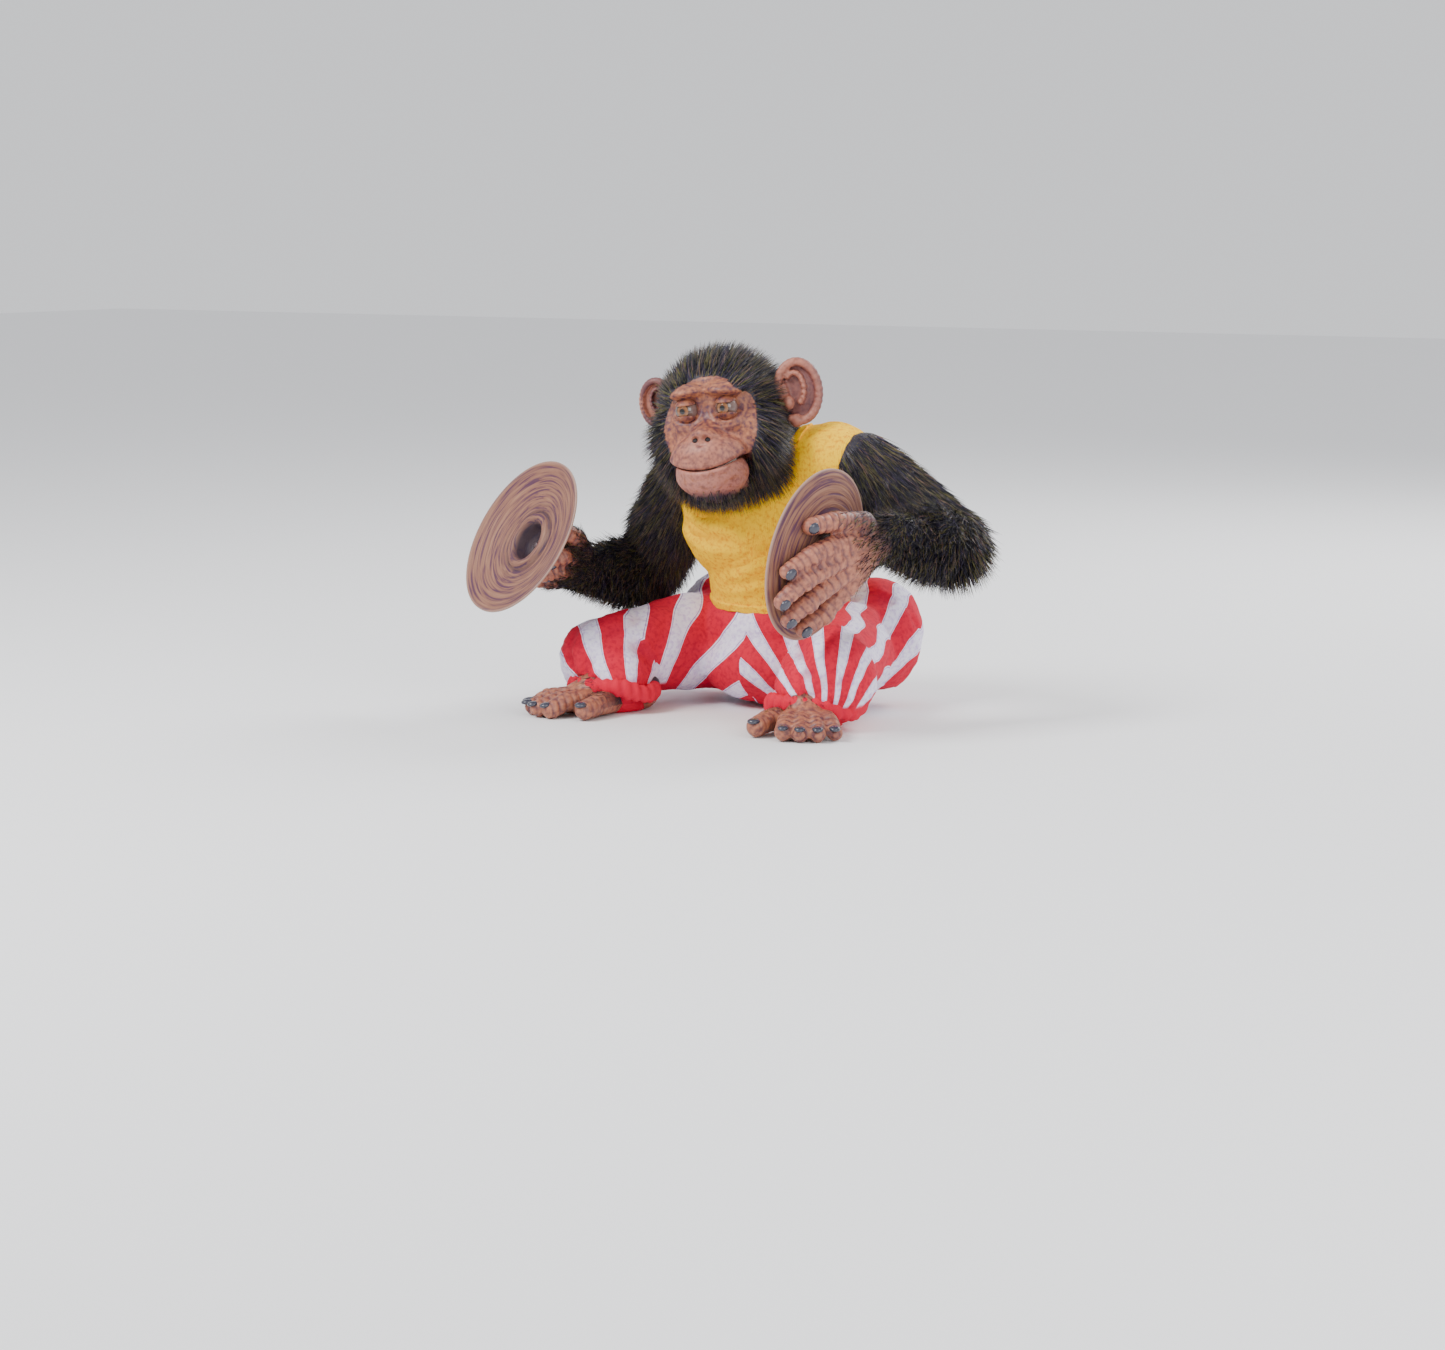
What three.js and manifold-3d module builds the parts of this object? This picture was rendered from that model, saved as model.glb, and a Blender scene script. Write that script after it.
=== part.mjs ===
// Cymbal-playing monkey: a clockwork toy ape that squats in a vest and striped trousers.
// Millimetres, +Z up, the ape faces -Y, its own left is +X. The origin is on the table,
// in the middle of the flat seat.
import * as THREE from "three";
import { mergeVertices } from "three/addons/utils/BufferGeometryUtils.js";
import Module from "manifold-3d";

const wasm = await Module();
wasm.setup();

// ---- driving dimensions ----
const seatBack = 60; // the drawing's zero is this far in front of the seat's middle
const gap = 0.4; // air between neighbouring pieces
const wall = 1.6; // thickness of the moulded casings
const cymbalRadius = 56;
const cymbalGauge = 1.2;
const torso = { base: [0, 60, 38], lean: 22.6, roll: 6, width: 1.06, depth: 0.8 };
const head = { centre: [-6, -27, 198], yaw: 16, roll: 6, radius: 42 };
const shoulder = { right: [-60, 12, 152], left: [60, 12, 176], radius: 18 };
const elbow = { right: [-104, 32, 86], left: [146, 16, 122], radius: 17 };
const wrist = { right: [-113, -36, 92], left: [137, -60, 128], radius: 12, ball: 8 };
const shoulderAxis = { right: [0.018, 0.432, 0.902], left: [-0.069, -0.149, 0.986] };
const wristAxis = { right: [0.961, -0.277, -0.005], left: [0.017, -0.521, 0.853] };
const wristTurn = { right: 19, left: 33 }; // degrees
const slotOpens = { right: [34, -122], left: [146, 258] }; // degrees about the shoulder pin
const pinRadius = { shoulder: 2.5, wrist: 1.6, head: 1.5 };
const running = 0.08; // radial clearance of a turning fit
const cymbal = {
  right: { centre: [-132, -80, 117], faces: [-0.348, -0.804, 0.484] },
  left: { centre: [100, -85, 118], faces: [-0.982, 0.023, 0.183] },
};
const leg = { hip: [42, 58, 38], knee: [78, -38, 43], ankle: [72, -50, 19] };
const foot = { heel: [68, -42], toes: [108, -112] };
const train = { module: 1, key: [0, 86], second: [-20, 96.3], third: [-4, 107.44], fourth: [12, 107.44] };
const teeth = { great: 36, pinion: 9, second: 30, third: 24, fly: 8 };
const plate = { front: 20, rear: 50, thick: 1.5 };

// ---- finishes ----
const finish = (color, roughness, metalness = 0) =>
  new THREE.MeshStandardMaterial({ color, roughness, metalness });
const fur = finish(0x1d1a20, 0.9);
const skin = finish(0xb0705c, 0.6);
const casing = finish(0x5a5048, 0.5);
const yellowCloth = finish(0xf4c90c, 0.9);
const stripedCloth = finish(0xd8203a, 0.9);
const copper = finish(0xb07a58, 0.35, 0.8);
const steel = finish(0x9a9a9e, 0.35, 0.9);
const brass = finish(0xc79a45, 0.35, 0.9);
const glassEye = finish(0x5a3018, 0.1);
const ivory = finish(0xe8dfc8, 0.4);

const toy = new THREE.Group();

// ---- shape helpers ----
const v3 = (p) => new THREE.Vector3(...p);
const mirrored = (p) => [-p[0], p[1], p[2]];

// A closed geometry, moved by a matrix, as a manifold solid.
function solid(geometry, matrix = new THREE.Matrix4()) {
  const g = geometry.clone().applyMatrix4(matrix);
  g.deleteAttribute("normal");
  g.deleteAttribute("uv");
  const merged = mergeVertices(g, 1e-3);
  const corners = [];
  const index = merged.index.array;
  for (let i = 0; i < index.length; i += 3) {
    const [a, b, c] = [index[i], index[i + 1], index[i + 2]];
    if (a !== b && b !== c && c !== a) corners.push(a, b, c);
  }
  return new wasm.Manifold(
    new wasm.Mesh({
      numProp: 3,
      vertProperties: merged.attributes.position.array,
      triVerts: new Uint32Array(corners),
    }),
  );
}

function add(name, rawShape, material) {
  const shape = rawShape.asOriginal().simplify(0.01);
  const made = shape.getMesh();
  const geometry = new THREE.BufferGeometry()
    .setAttribute("position", new THREE.BufferAttribute(new Float32Array(made.vertProperties), 3))
    .setIndex(new THREE.BufferAttribute(new Uint32Array(made.triVerts), 1));
  geometry.translate(0, -seatBack, 0);
  geometry.computeVertexNormals();
  const mesh = new THREE.Mesh(geometry, material);
  mesh.name = name;
  toy.add(mesh);
  return shape;
}

// The matrix that carries +Z onto a direction and the origin onto a point.
const aimed = (point, direction) =>
  new THREE.Matrix4().compose(
    v3(point),
    new THREE.Quaternion().setFromUnitVectors(new THREE.Vector3(0, 0, 1), v3(direction).normalize()),
    new THREE.Vector3(1, 1, 1),
  );

const ball = (centre, radii, across = 14) =>
  solid(
    new THREE.SphereGeometry(1, across, Math.round(across * 0.6)),
    new THREE.Matrix4().compose(v3(centre), new THREE.Quaternion(), v3(radii)),
  );

const round = (centre, radius, across = 16) => ball(centre, [radius, radius, radius], across);

function box(low, high) {
  const size = high.map((h, i) => h - low[i]);
  const middle = high.map((h, i) => (h + low[i]) / 2);
  return solid(new THREE.BoxGeometry(...size), new THREE.Matrix4().makeTranslation(...middle));
}

// A straight rod between two points.
function rod(from, to, radius, across = 12) {
  const along = v3(to).sub(v3(from));
  const g = new THREE.CylinderGeometry(radius, radius, along.length(), across);
  g.rotateX(Math.PI / 2);
  g.translate(0, 0, along.length() / 2);
  return solid(g, aimed(from, along.toArray()));
}

// A limb: a tapering rod with round ends.
function limb(from, to, radiusFrom, radiusTo, across = 12) {
  const length = v3(to).distanceTo(v3(from));
  const steps = 3;
  const profile = [];
  for (let i = 0; i <= steps; i++) {
    const t = (-Math.PI / 2) * (1 - i / steps);
    profile.push(new THREE.Vector2(radiusFrom * Math.cos(t), radiusFrom * Math.sin(t)));
  }
  for (let i = 0; i <= steps; i++) {
    const t = (Math.PI / 2) * (i / steps);
    profile.push(new THREE.Vector2(radiusTo * Math.cos(t), length + radiusTo * Math.sin(t)));
  }
  profile[0].x = 0;
  profile[profile.length - 1].x = 0;
  return solid(upright(new THREE.LatheGeometry(profile, across)), aimed(from, v3(to).sub(v3(from)).toArray()));
}

// three.js turns a lathe about Y; this stands it up on Z.
function upright(geometry) {
  return geometry.rotateX(Math.PI / 2);
}

// A body of revolution about Z from [radius, height] pairs.
const turned = (pairs, across = 32, matrix) =>
  solid(upright(new THREE.LatheGeometry(pairs.map((p) => new THREE.Vector2(...p)), across)), matrix);

// The same shape with fewer facets, within a quarter of a millimetre.
const coarse = (shape) => shape.asOriginal().simplify(0.25);
// The biggest of the bodies that a cut leaves.
const largest = (shape) => shape.decompose().sort((a, b) => b.volume() - a.volume())[0];
const join = (...shapes) => shapes.reduce((a, b) => a.add(b));

// A disc with a bore, its faces at y1 and y2, on an axis along Y.
function disc(place, radius, y1, y2, across = 24) {
  return rod([place[0], y1, place[1]], [place[0], y2, place[1]], radius, across);
}

// A spur gear on an axis along Y, with straight-flanked teeth cut a little thin for backlash.
function gear(place, count, y1, y2, turn = 0) {
  const pitch = (train.module * count) / 2;
  const tip = pitch + 0.75 * train.module;
  const root = pitch - 1.15 * train.module;
  const shape = new THREE.Shape();
  const step = (2 * Math.PI) / count;
  for (let i = 0; i < count; i++) {
    [[-0.27, root], [-0.13, tip], [0.13, tip], [0.27, root]].forEach(([at, radius], corner) => {
      const angle = (i + at) * step + turn;
      const point = [radius * Math.cos(angle), radius * Math.sin(angle)];
      if (i === 0 && corner === 0) shape.moveTo(...point);
      else shape.lineTo(...point);
    });
  }
  const g = new THREE.ExtrudeGeometry(shape, { depth: y2 - y1, bevelEnabled: false });
  g.rotateX(Math.PI / 2); // the outline now lies in XZ, seen from -Y, and runs back from y = 0
  g.translate(place[0], y2, place[1]);
  return solid(g);
}

// ---- torso casing: two moulded halves round the clockwork ----
const torsoFrame = new THREE.Matrix4()
  .makeTranslation(...torso.base)
  .multiply(new THREE.Matrix4().makeRotationY(THREE.MathUtils.degToRad(-torso.roll)))
  .multiply(new THREE.Matrix4().makeRotationX(THREE.MathUtils.degToRad(torso.lean)));
const torsoScale = new THREE.Matrix4().makeScale(torso.width, torso.depth, 1);
const torsoProfile = [[38, 0], [44, 14], [47, 40], [46, 70], [43, 96], [36, 116], [27, 128], [19, 134]];

// A closed ring-shaped wall that follows the torso, from one offset to another.
function torsoWall(inner, outer, from, to, across = 24) {
  const reach = torsoProfile.slice(from, to);
  const pairs = [
    ...reach.map(([r, s]) => [r + outer, s + outer * 0.25]),
    ...reach.toReversed().map(([r, s]) => [r + inner, s + inner * 0.25]),
  ];
  pairs.push(pairs[0]);
  return turned(pairs, across, torsoFrame.clone().multiply(torsoScale));
}
const far = 400;
const halfSpace = (side) =>
  solid(
    new THREE.BoxGeometry(far, far, far),
    torsoFrame.clone().multiply(new THREE.Matrix4().makeTranslation(0, side * (far / 2 + gap / 2), 0)),
  );
const armholes = (clearance) =>
  join(
    round(shoulder.right, shoulder.radius + clearance, 14),
    round(shoulder.left, shoulder.radius + clearance, 14),
  );
const keyHole = rod([train.key[0], 40, train.key[1]], [train.key[0], 130, train.key[1]], 4.5, 16);
const neckTop = [head.centre[0] + 2, head.centre[1] + 14, head.centre[2] - 24];
const neckBend = [-14, 10, 150];
const neckFoot = [-10, 36, 123];
const neckSpace = limb(neckBend, neckTop, 6.5, 10, 12);
const upperArm = (side, grow) =>
  limb(shoulder[side], elbow[side], shoulder.radius + grow, elbow.radius + grow, 12);
const bracketEnd = { right: [-24, 21, 121], left: [16, 21, 121] };
const bracketBend = { right: [-36, 14, 150.6], left: [38, 14, 174.8] };
const bracketBar = (side, grow) =>
  join(
    limb(shoulder[side], bracketBend[side], 1.8 + grow, 1.8 + grow, 10),
    limb(bracketBend[side], bracketEnd[side], 1.8 + grow, 1.8 + grow, 10),
  );
const armSpace = join(upperArm("right", 2.6), upperArm("left", 2.6), bracketBar("left", 1), bracketBar("right", 1));
const casingWall = torsoWall(-wall, 0, 0, 8)
  .subtract(armholes(3))
  .subtract(keyHole)
  .subtract(neckSpace)
  .subtract(armSpace);
add("torso_front_casing", largest(casingWall.intersect(halfSpace(-1))), casing);
add("torso_rear_casing", largest(casingWall.intersect(halfSpace(1))), casing);

// ---- vest: one knitted shell over the casing ----
const hem = solid(
  new THREE.BoxGeometry(far, far, 60),
  torsoFrame.clone().multiply(new THREE.Matrix4().makeTranslation(0, 0, -2)),
);
const vestShell = torsoWall(gap, gap + 2, 0, 8).subtract(hem)
  .subtract(armholes(2.4))
  .subtract(keyHole)
  .subtract(neckSpace)
  .subtract(armSpace);
add("vest", coarse(largest(vestShell)), yellowCloth);

// ---- pelvis block with the flat seat, legs and feet ----
const seat = { radius: 30, thick: 5, y: 60 };
const pelvisCore = ball([0, 62, 27], [36, 28, 24], 16);
const floorCut = box([-far, -far, -far], [far, far, 0]);
const pelvis = join(pelvisCore, rod([0, seat.y, 0], [0, seat.y, 20], seat.radius, 28))
.subtract(floorCut);
const torsoSpace = solid(
  upright(new THREE.LatheGeometry([[0, -1], [40, -1], [47, 14], [51, 40], [51, 75], [0, 75]].map((p) => new THREE.Vector2(...p)), 28)),
  torsoFrame.clone().multiply(torsoScale),
);
const seatBlock = pelvis.subtract(torsoSpace);

const legSolid = (side, grow = 0) => {
  const at = (p) => (side < 0 ? mirrored(p) : p);
  return join(
    limb(at(leg.hip), at(leg.knee), 27 + grow, 22 + grow),
    limb(at(leg.knee), at(leg.ankle), 22 + grow, 16 + grow),
  );
};
const footSolid = (side, grow = 0) => {
  const along = v3([foot.toes[0] - foot.heel[0], foot.toes[1] - foot.heel[1], 0]).normalize();
  const across = v3([-along.y, along.x, 0]);
  const sole = box([-far, -far, 0], [far, far, far]);
  const at = (forward, sideways, up) => {
    const p = v3([foot.heel[0], foot.heel[1], up])
      .addScaledVector(along, forward)
      .addScaledVector(across, sideways);
    return side < 0 ? mirrored(p.toArray()) : p.toArray();
  };
  const pieces = [
    limb(at(-2, 0, 13), at(42, 0, 10), 14 + grow, 12 + grow, 12),
    limb(at(30, -6, 9), at(50, -7, 8), 10 + grow, 9 + grow, 10),
    limb(at(28, 9, 8), at(44, 26, 6), 8 + grow, 6.2 + grow, 8),
  ];
  if (grow > 0) return join(...pieces);
  [-16, -6.5, 3, 12].forEach((sideways, i) => {
    pieces.push(limb(at(44, sideways * 0.7, 7), at(78 - 4 * Math.abs(i - 1.2), sideways, 5.2), 6.6, 5.2, 6));
  });
  return join(...pieces).intersect(sole);
};
const legs = {};
for (const [name, side] of [["right", -1], ["left", 1]]) {
  const footShape = footSolid(side);
  const legShape = legSolid(side).subtract(floorCut);
  legs[name] = legShape;
  add(name + "_foot", coarse(largest(footShape.subtract(legSolid(side, gap)))), skin);
}
const middleCut = (side) => (side < 0 ? box([-gap / 2, -far, -far], [far, far, far]) : box([-far, -far, -far], [gap / 2, far, far]));
const seatBody = seatBlock.subtract(legSolid(-1, gap)).subtract(legSolid(1, gap));
add("right_leg", largest(legs.right.subtract(middleCut(-1)).subtract(torsoSpace)), casing);
add("left_leg", largest(legs.left.subtract(middleCut(1)).subtract(torsoSpace)), casing);
add("seat_block", coarse(largest(seatBody)), casing);

// ---- trousers: one cloth shell round the legs and seat ----
const clothLeg = (side, grow) => {
  const at = (p) => (side < 0 ? mirrored(p) : p);
  return join(
    limb(at(leg.hip), at(leg.knee), 31 + grow, 27 + grow, 12),
    limb(at(leg.knee), at([74, -46, 24]), 27 + grow, 23 + grow, 12),
  );
};
const clothSeat = (grow) => ball([0, 62, 36], [50 + grow, 44 + grow, 36 + grow], 18);
const clothOuter = join(clothSeat(2), clothLeg(1, 2), clothLeg(-1, 2));
const clothInner = join(clothSeat(0), clothLeg(1, 0), clothLeg(-1, 0));
const cuffCut = box([-far, -far, -far], [far, -8, 8]);
const torsoPlug = solid(
  upright(new THREE.LatheGeometry([[0, -2], [42.5, -2], [48, 14], [51.5, 30], [51.5, 110], [0, 110]].map((p) => new THREE.Vector2(...p)), 24)),
  torsoFrame.clone().multiply(torsoScale),
);
const seatOpening = rod([0, seat.y, -20], [0, seat.y, 18], seat.radius + 1, 28);
const trousers = clothOuter
  .subtract(clothInner)
  .subtract(cuffCut)
  .subtract(torsoPlug)
  .subtract(seatOpening)
  .subtract(box([-far, -far, -far], [far, far, 0.6]))
  .subtract(footSolid(1, 0.6))
  .subtract(footSolid(-1, 0.6));
add("trousers", coarse(largest(trousers)), stripedCloth);

// ---- clockwork: plates and pillars ----
const plateLow = [-31, 62];
const plateHigh = [25, 121];
const plateBox = (y) => box([plateLow[0], y, plateLow[1]], [plateHigh[0], y + plate.thick, plateHigh[1]]);
const arborHoles = (radius) =>
  join(...[train.key, train.second, train.third, train.fourth].map((place) => disc(place, radius, 0, 90, 12)));
const arborRadius = 1.5;
const pillarPlaces = [[-27, 66], [21, 66], [-27, 117], [21, 117]];
const frontPlate = plateBox(plate.front).subtract(arborHoles(arborRadius + 0.35));
const keyBore = disc(train.key, 3.4, 0, 90, 16);
add("movement_front_plate", frontPlate.subtract(keyBore), brass);
add("movement_rear_plate", plateBox(plate.rear).subtract(arborHoles(arborRadius + 0.35)).subtract(keyBore), brass);
pillarPlaces.forEach((place, i) =>
  add("plate_pillar_" + (i + 1), disc(place, 2.2, plate.front + plate.thick + 0.1, plate.rear - 0.1, 10), steel),
);

// ---- clockwork: arbors, wheels and pinions ----
const half = Math.PI;
const meshAngle = (from, to) => Math.atan2(to[1] - from[1], to[0] - from[0]);
// Turns a follower so that one of its gaps faces a tooth of the wheel that drives it.
function meshed(driver, driverTeeth, driverTurn, follower, followerTeeth) {
  const towards = meshAngle(driver, follower);
  const driverPhase = ((towards - driverTurn) * driverTeeth) / (2 * half);
  const followerPhase = 0.5 - driverPhase;
  return towards + half - (followerPhase * 2 * half) / followerTeeth * -1 * -1;
}
const secondTurn = meshed(train.key, teeth.great, 0, train.second, teeth.pinion);
const thirdTurn = meshed(train.second, teeth.second, 0, train.third, teeth.pinion);
const flyTurn = meshed(train.third, teeth.third, 0, train.fourth, teeth.fly);
const keyShaft = disc(train.key, 3, plate.front - 2, 95, 14);
add("great_wheel", join(keyShaft, gear(train.key, teeth.great, 24, 27.5)), steel);
add(
  "second_wheel",
  join(
    disc(train.second, arborRadius, plate.front - 1, plate.rear + 3, 10),
    gear(train.second, teeth.pinion, 23, 28.5, secondTurn),
    gear(train.second, teeth.second, 31, 33),
  ),
  brass,
);
const camLobe = (turn) =>
  solid(
    new THREE.CylinderGeometry(1, 1, 4, 24).scale(7.5, 1, 4.6).rotateY(turn),
    new THREE.Matrix4().makeTranslation(train.third[0], 16, train.third[1]),
  );
add(
  "cam_wheel",
  join(
    disc(train.third, arborRadius, 13, plate.rear + 3, 10),
    gear(train.third, teeth.pinion, 30, 34, thirdTurn),
    gear(train.third, teeth.third, 37, 39),
    camLobe(0),
  ),
  brass,
);
add(
  "governor_fly",
  join(
    disc(train.fourth, arborRadius, plate.front - 1, plate.rear + 3, 10),
    gear(train.fourth, teeth.fly, 36, 40, flyTurn),
    disc(train.fourth, 9, 44, 48, 20),
  ),
  steel,
);

// The mainspring is a strip wound round the key arbor behind the rear plate.
const springTurns = 3.5;
const springPath = [];
const springSteps = 44;
for (let i = 0; i <= springSteps; i++) {
  const t = i / springSteps;
  const angle = t * springTurns * 2 * Math.PI;
  springPath.push([(5 + 10 * t) * Math.cos(angle), (5 + 10 * t) * Math.sin(angle)]);
}
const springStrip = new THREE.Shape();
const springGauge = 0.7;
const grown = (p, by) => p.map((x) => x * (1 + by / Math.hypot(...p)));
springPath.forEach((p, i) => (i ? springStrip.lineTo(...p) : springStrip.moveTo(...p)));
springPath.toReversed().forEach((p) => springStrip.lineTo(...grown(p, springGauge)));
const springBody = new THREE.ExtrudeGeometry(springStrip, { depth: 7, bevelEnabled: false })
  .rotateX(Math.PI / 2)
  .translate(train.key[0], 64, train.key[1]);
add("mainspring", solid(springBody), steel);

// The key: a two-winged bow on a square socket behind the vest.
const bow = (side) =>
  ball([train.key[0] + side * 9.5, 103, train.key[1]], [8.5, 2, 7.5], 16).subtract(
    rod([side * 9.5, 90, train.key[1]], [side * 9.5, 115, train.key[1]], 3.4, 14),
  );
add(
  "winding_key",
  join(bow(-1), bow(1), rod([0, 88, train.key[1]], [0, 106, train.key[1]], 4.2, 16)).subtract(
    rod([0, 80, train.key[1]], [0, 95.4, train.key[1]], 3.4, 14),
  ),
  steel,
);

// ---- neck and head ----
const headFrame = new THREE.Matrix4()
  .makeTranslation(...head.centre)
  .multiply(new THREE.Matrix4().makeRotationZ(THREE.MathUtils.degToRad(head.yaw)))
  .multiply(new THREE.Matrix4().makeRotationY(THREE.MathUtils.degToRad(-head.roll)));
const inHead = (shape) => shape.transform(headFrame.elements);
const nod = { place: [0, 12, -24], ball: 7 };
const nodPoint = v3(nod.place).applyMatrix4(headFrame).toArray();
const crossPin = (y, z, reach, radius) => rod([-reach, y, z], [reach, y, z], radius, 32);
const neckPost = join(
  limb(neckBend, nodPoint, 4.5, nod.ball, 12),
  limb(neckBend, neckFoot, 4.5, 4.5, 10),
  box([-20, 20, 121.3], [0, 51.5, 124.5]),
)
  .subtract(box([-far, -far, -far], [far, far, 121.3]))
  .subtract(crossPin(nod.place[1], nod.place[2], 30, pinRadius.head + running).transform(headFrame.elements));
add("neck_post", neckPost, steel);
const skullArc = (radius, from) => {
  const arc = [];
  const steps = 7;
  for (let i = 0; i <= steps; i++) {
    const t = from + (Math.PI / 2 - from) * (i / steps);
    arc.push([radius * Math.cos(t), radius * Math.sin(t)]);
  }
  arc[steps][0] = 0;
  return arc;
};
const skullPairs = [...skullArc(head.radius, -0.9), ...skullArc(head.radius - wall, -0.9).toReversed()];
const skullRaw = turned([...skullPairs, skullPairs[0]], 20);
const muzzle = ball([0, -38, -24], [24, 25, 21], 16);
const faceMass = join(ball([0, -16, 2], [34, 32, 32], 16), muzzle);
const skullSpace = round([0, 0, 0], head.radius + 0.9, 20);
const eyePlaces = [[-14.5, -42.5, 8], [14.5, -42.5, 8]];
const eyeRadius = 6.5;
const mouthCut = solid(
  new THREE.BoxGeometry(far, far, far),
  new THREE.Matrix4().makeTranslation(0, 0, -far / 2 - 30),
);
const eyeSockets = join(...eyePlaces.map((p) => round(p, eyeRadius + gap, 16)));
add("skull_shell", coarse(largest(inHead(skullRaw.subtract(eyeSockets)).subtract(neckSpace))), fur);
const jawPin = { y: -16, z: -31 };
const cheek = (side) => box([side * 11 - 1, -20, -33], [side * 11 + 1, 19, -13]);
const headBracket = join(
  cheek(-1), cheek(1), box([-12, -20, -15], [12, 19, -13]), rod([0, 0, -14], [0, 0, 39], 3, 12),
)
  .subtract(crossPin(nod.place[1], nod.place[2], 30, pinRadius.head + 0.02))
  .subtract(crossPin(jawPin.y, jawPin.z, 30, pinRadius.head + 0.02));
add("head_bracket", inHead(headBracket), steel);
add("nod_pin", inHead(crossPin(nod.place[1], nod.place[2], 13, pinRadius.head)), steel);
add("jaw_pin", inHead(crossPin(jawPin.y, jawPin.z, 13, pinRadius.head)), steel);
const toothRow = (low, high, radius, grow) =>
  rod([0, -36, low - grow], [0, -36, high + grow], radius + 1.3 + grow, 16)
    .subtract(rod([0, -36, low - 9], [0, -36, high + 9], radius - 1.3 - grow, 16))
    .subtract(box([-far, -34 + grow, -far], [far, far, far]));
const upperTeeth = [-29.8, -25.5, 16];
const lowerTeeth = [-35.2, -31, 14];
const upperFace = faceMass
  .subtract(skullSpace)
  .subtract(mouthCut)
  .subtract(eyeSockets)
  .subtract(toothRow(...upperTeeth, gap));
add("upper_teeth", inHead(toothRow(...upperTeeth, 0)), ivory);
add("lower_teeth", inHead(toothRow(...lowerTeeth, 0)), ivory);
add("face_mask", inHead(largest(upperFace)), skin);
const jawMass = join(
  ball([0, -35, -35], [20, 20, 12], 14)
    .subtract(skullSpace)
    .subtract(box([-far, -far, -30.8], [far, far, far])),
  box([-7, -40, -40], [7, jawPin.y, -34.6]),
  crossPin(jawPin.y, jawPin.z, 7, 4.6),
)
  .subtract(crossPin(jawPin.y, jawPin.z, 30, pinRadius.head + running))
  .subtract(toothRow(...lowerTeeth, gap));
add("lower_jaw", inHead(largest(jawMass)), skin);
eyePlaces.forEach((p, i) => add(["right_eye", "left_eye"][i], inHead(round(p, eyeRadius, 14)), glassEye));
for (const [name, side] of [["right_ear", -1], ["left_ear", 1]]) {
  const ear = ball([side * 50, 4, 4], [15, 5, 20], 16)
    .subtract(ball([side * 53, -2, 4], [9, 4.5, 13], 12))
    .subtract(skullSpace);
  add(name, inHead(largest(ear)), skin);
}

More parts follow.
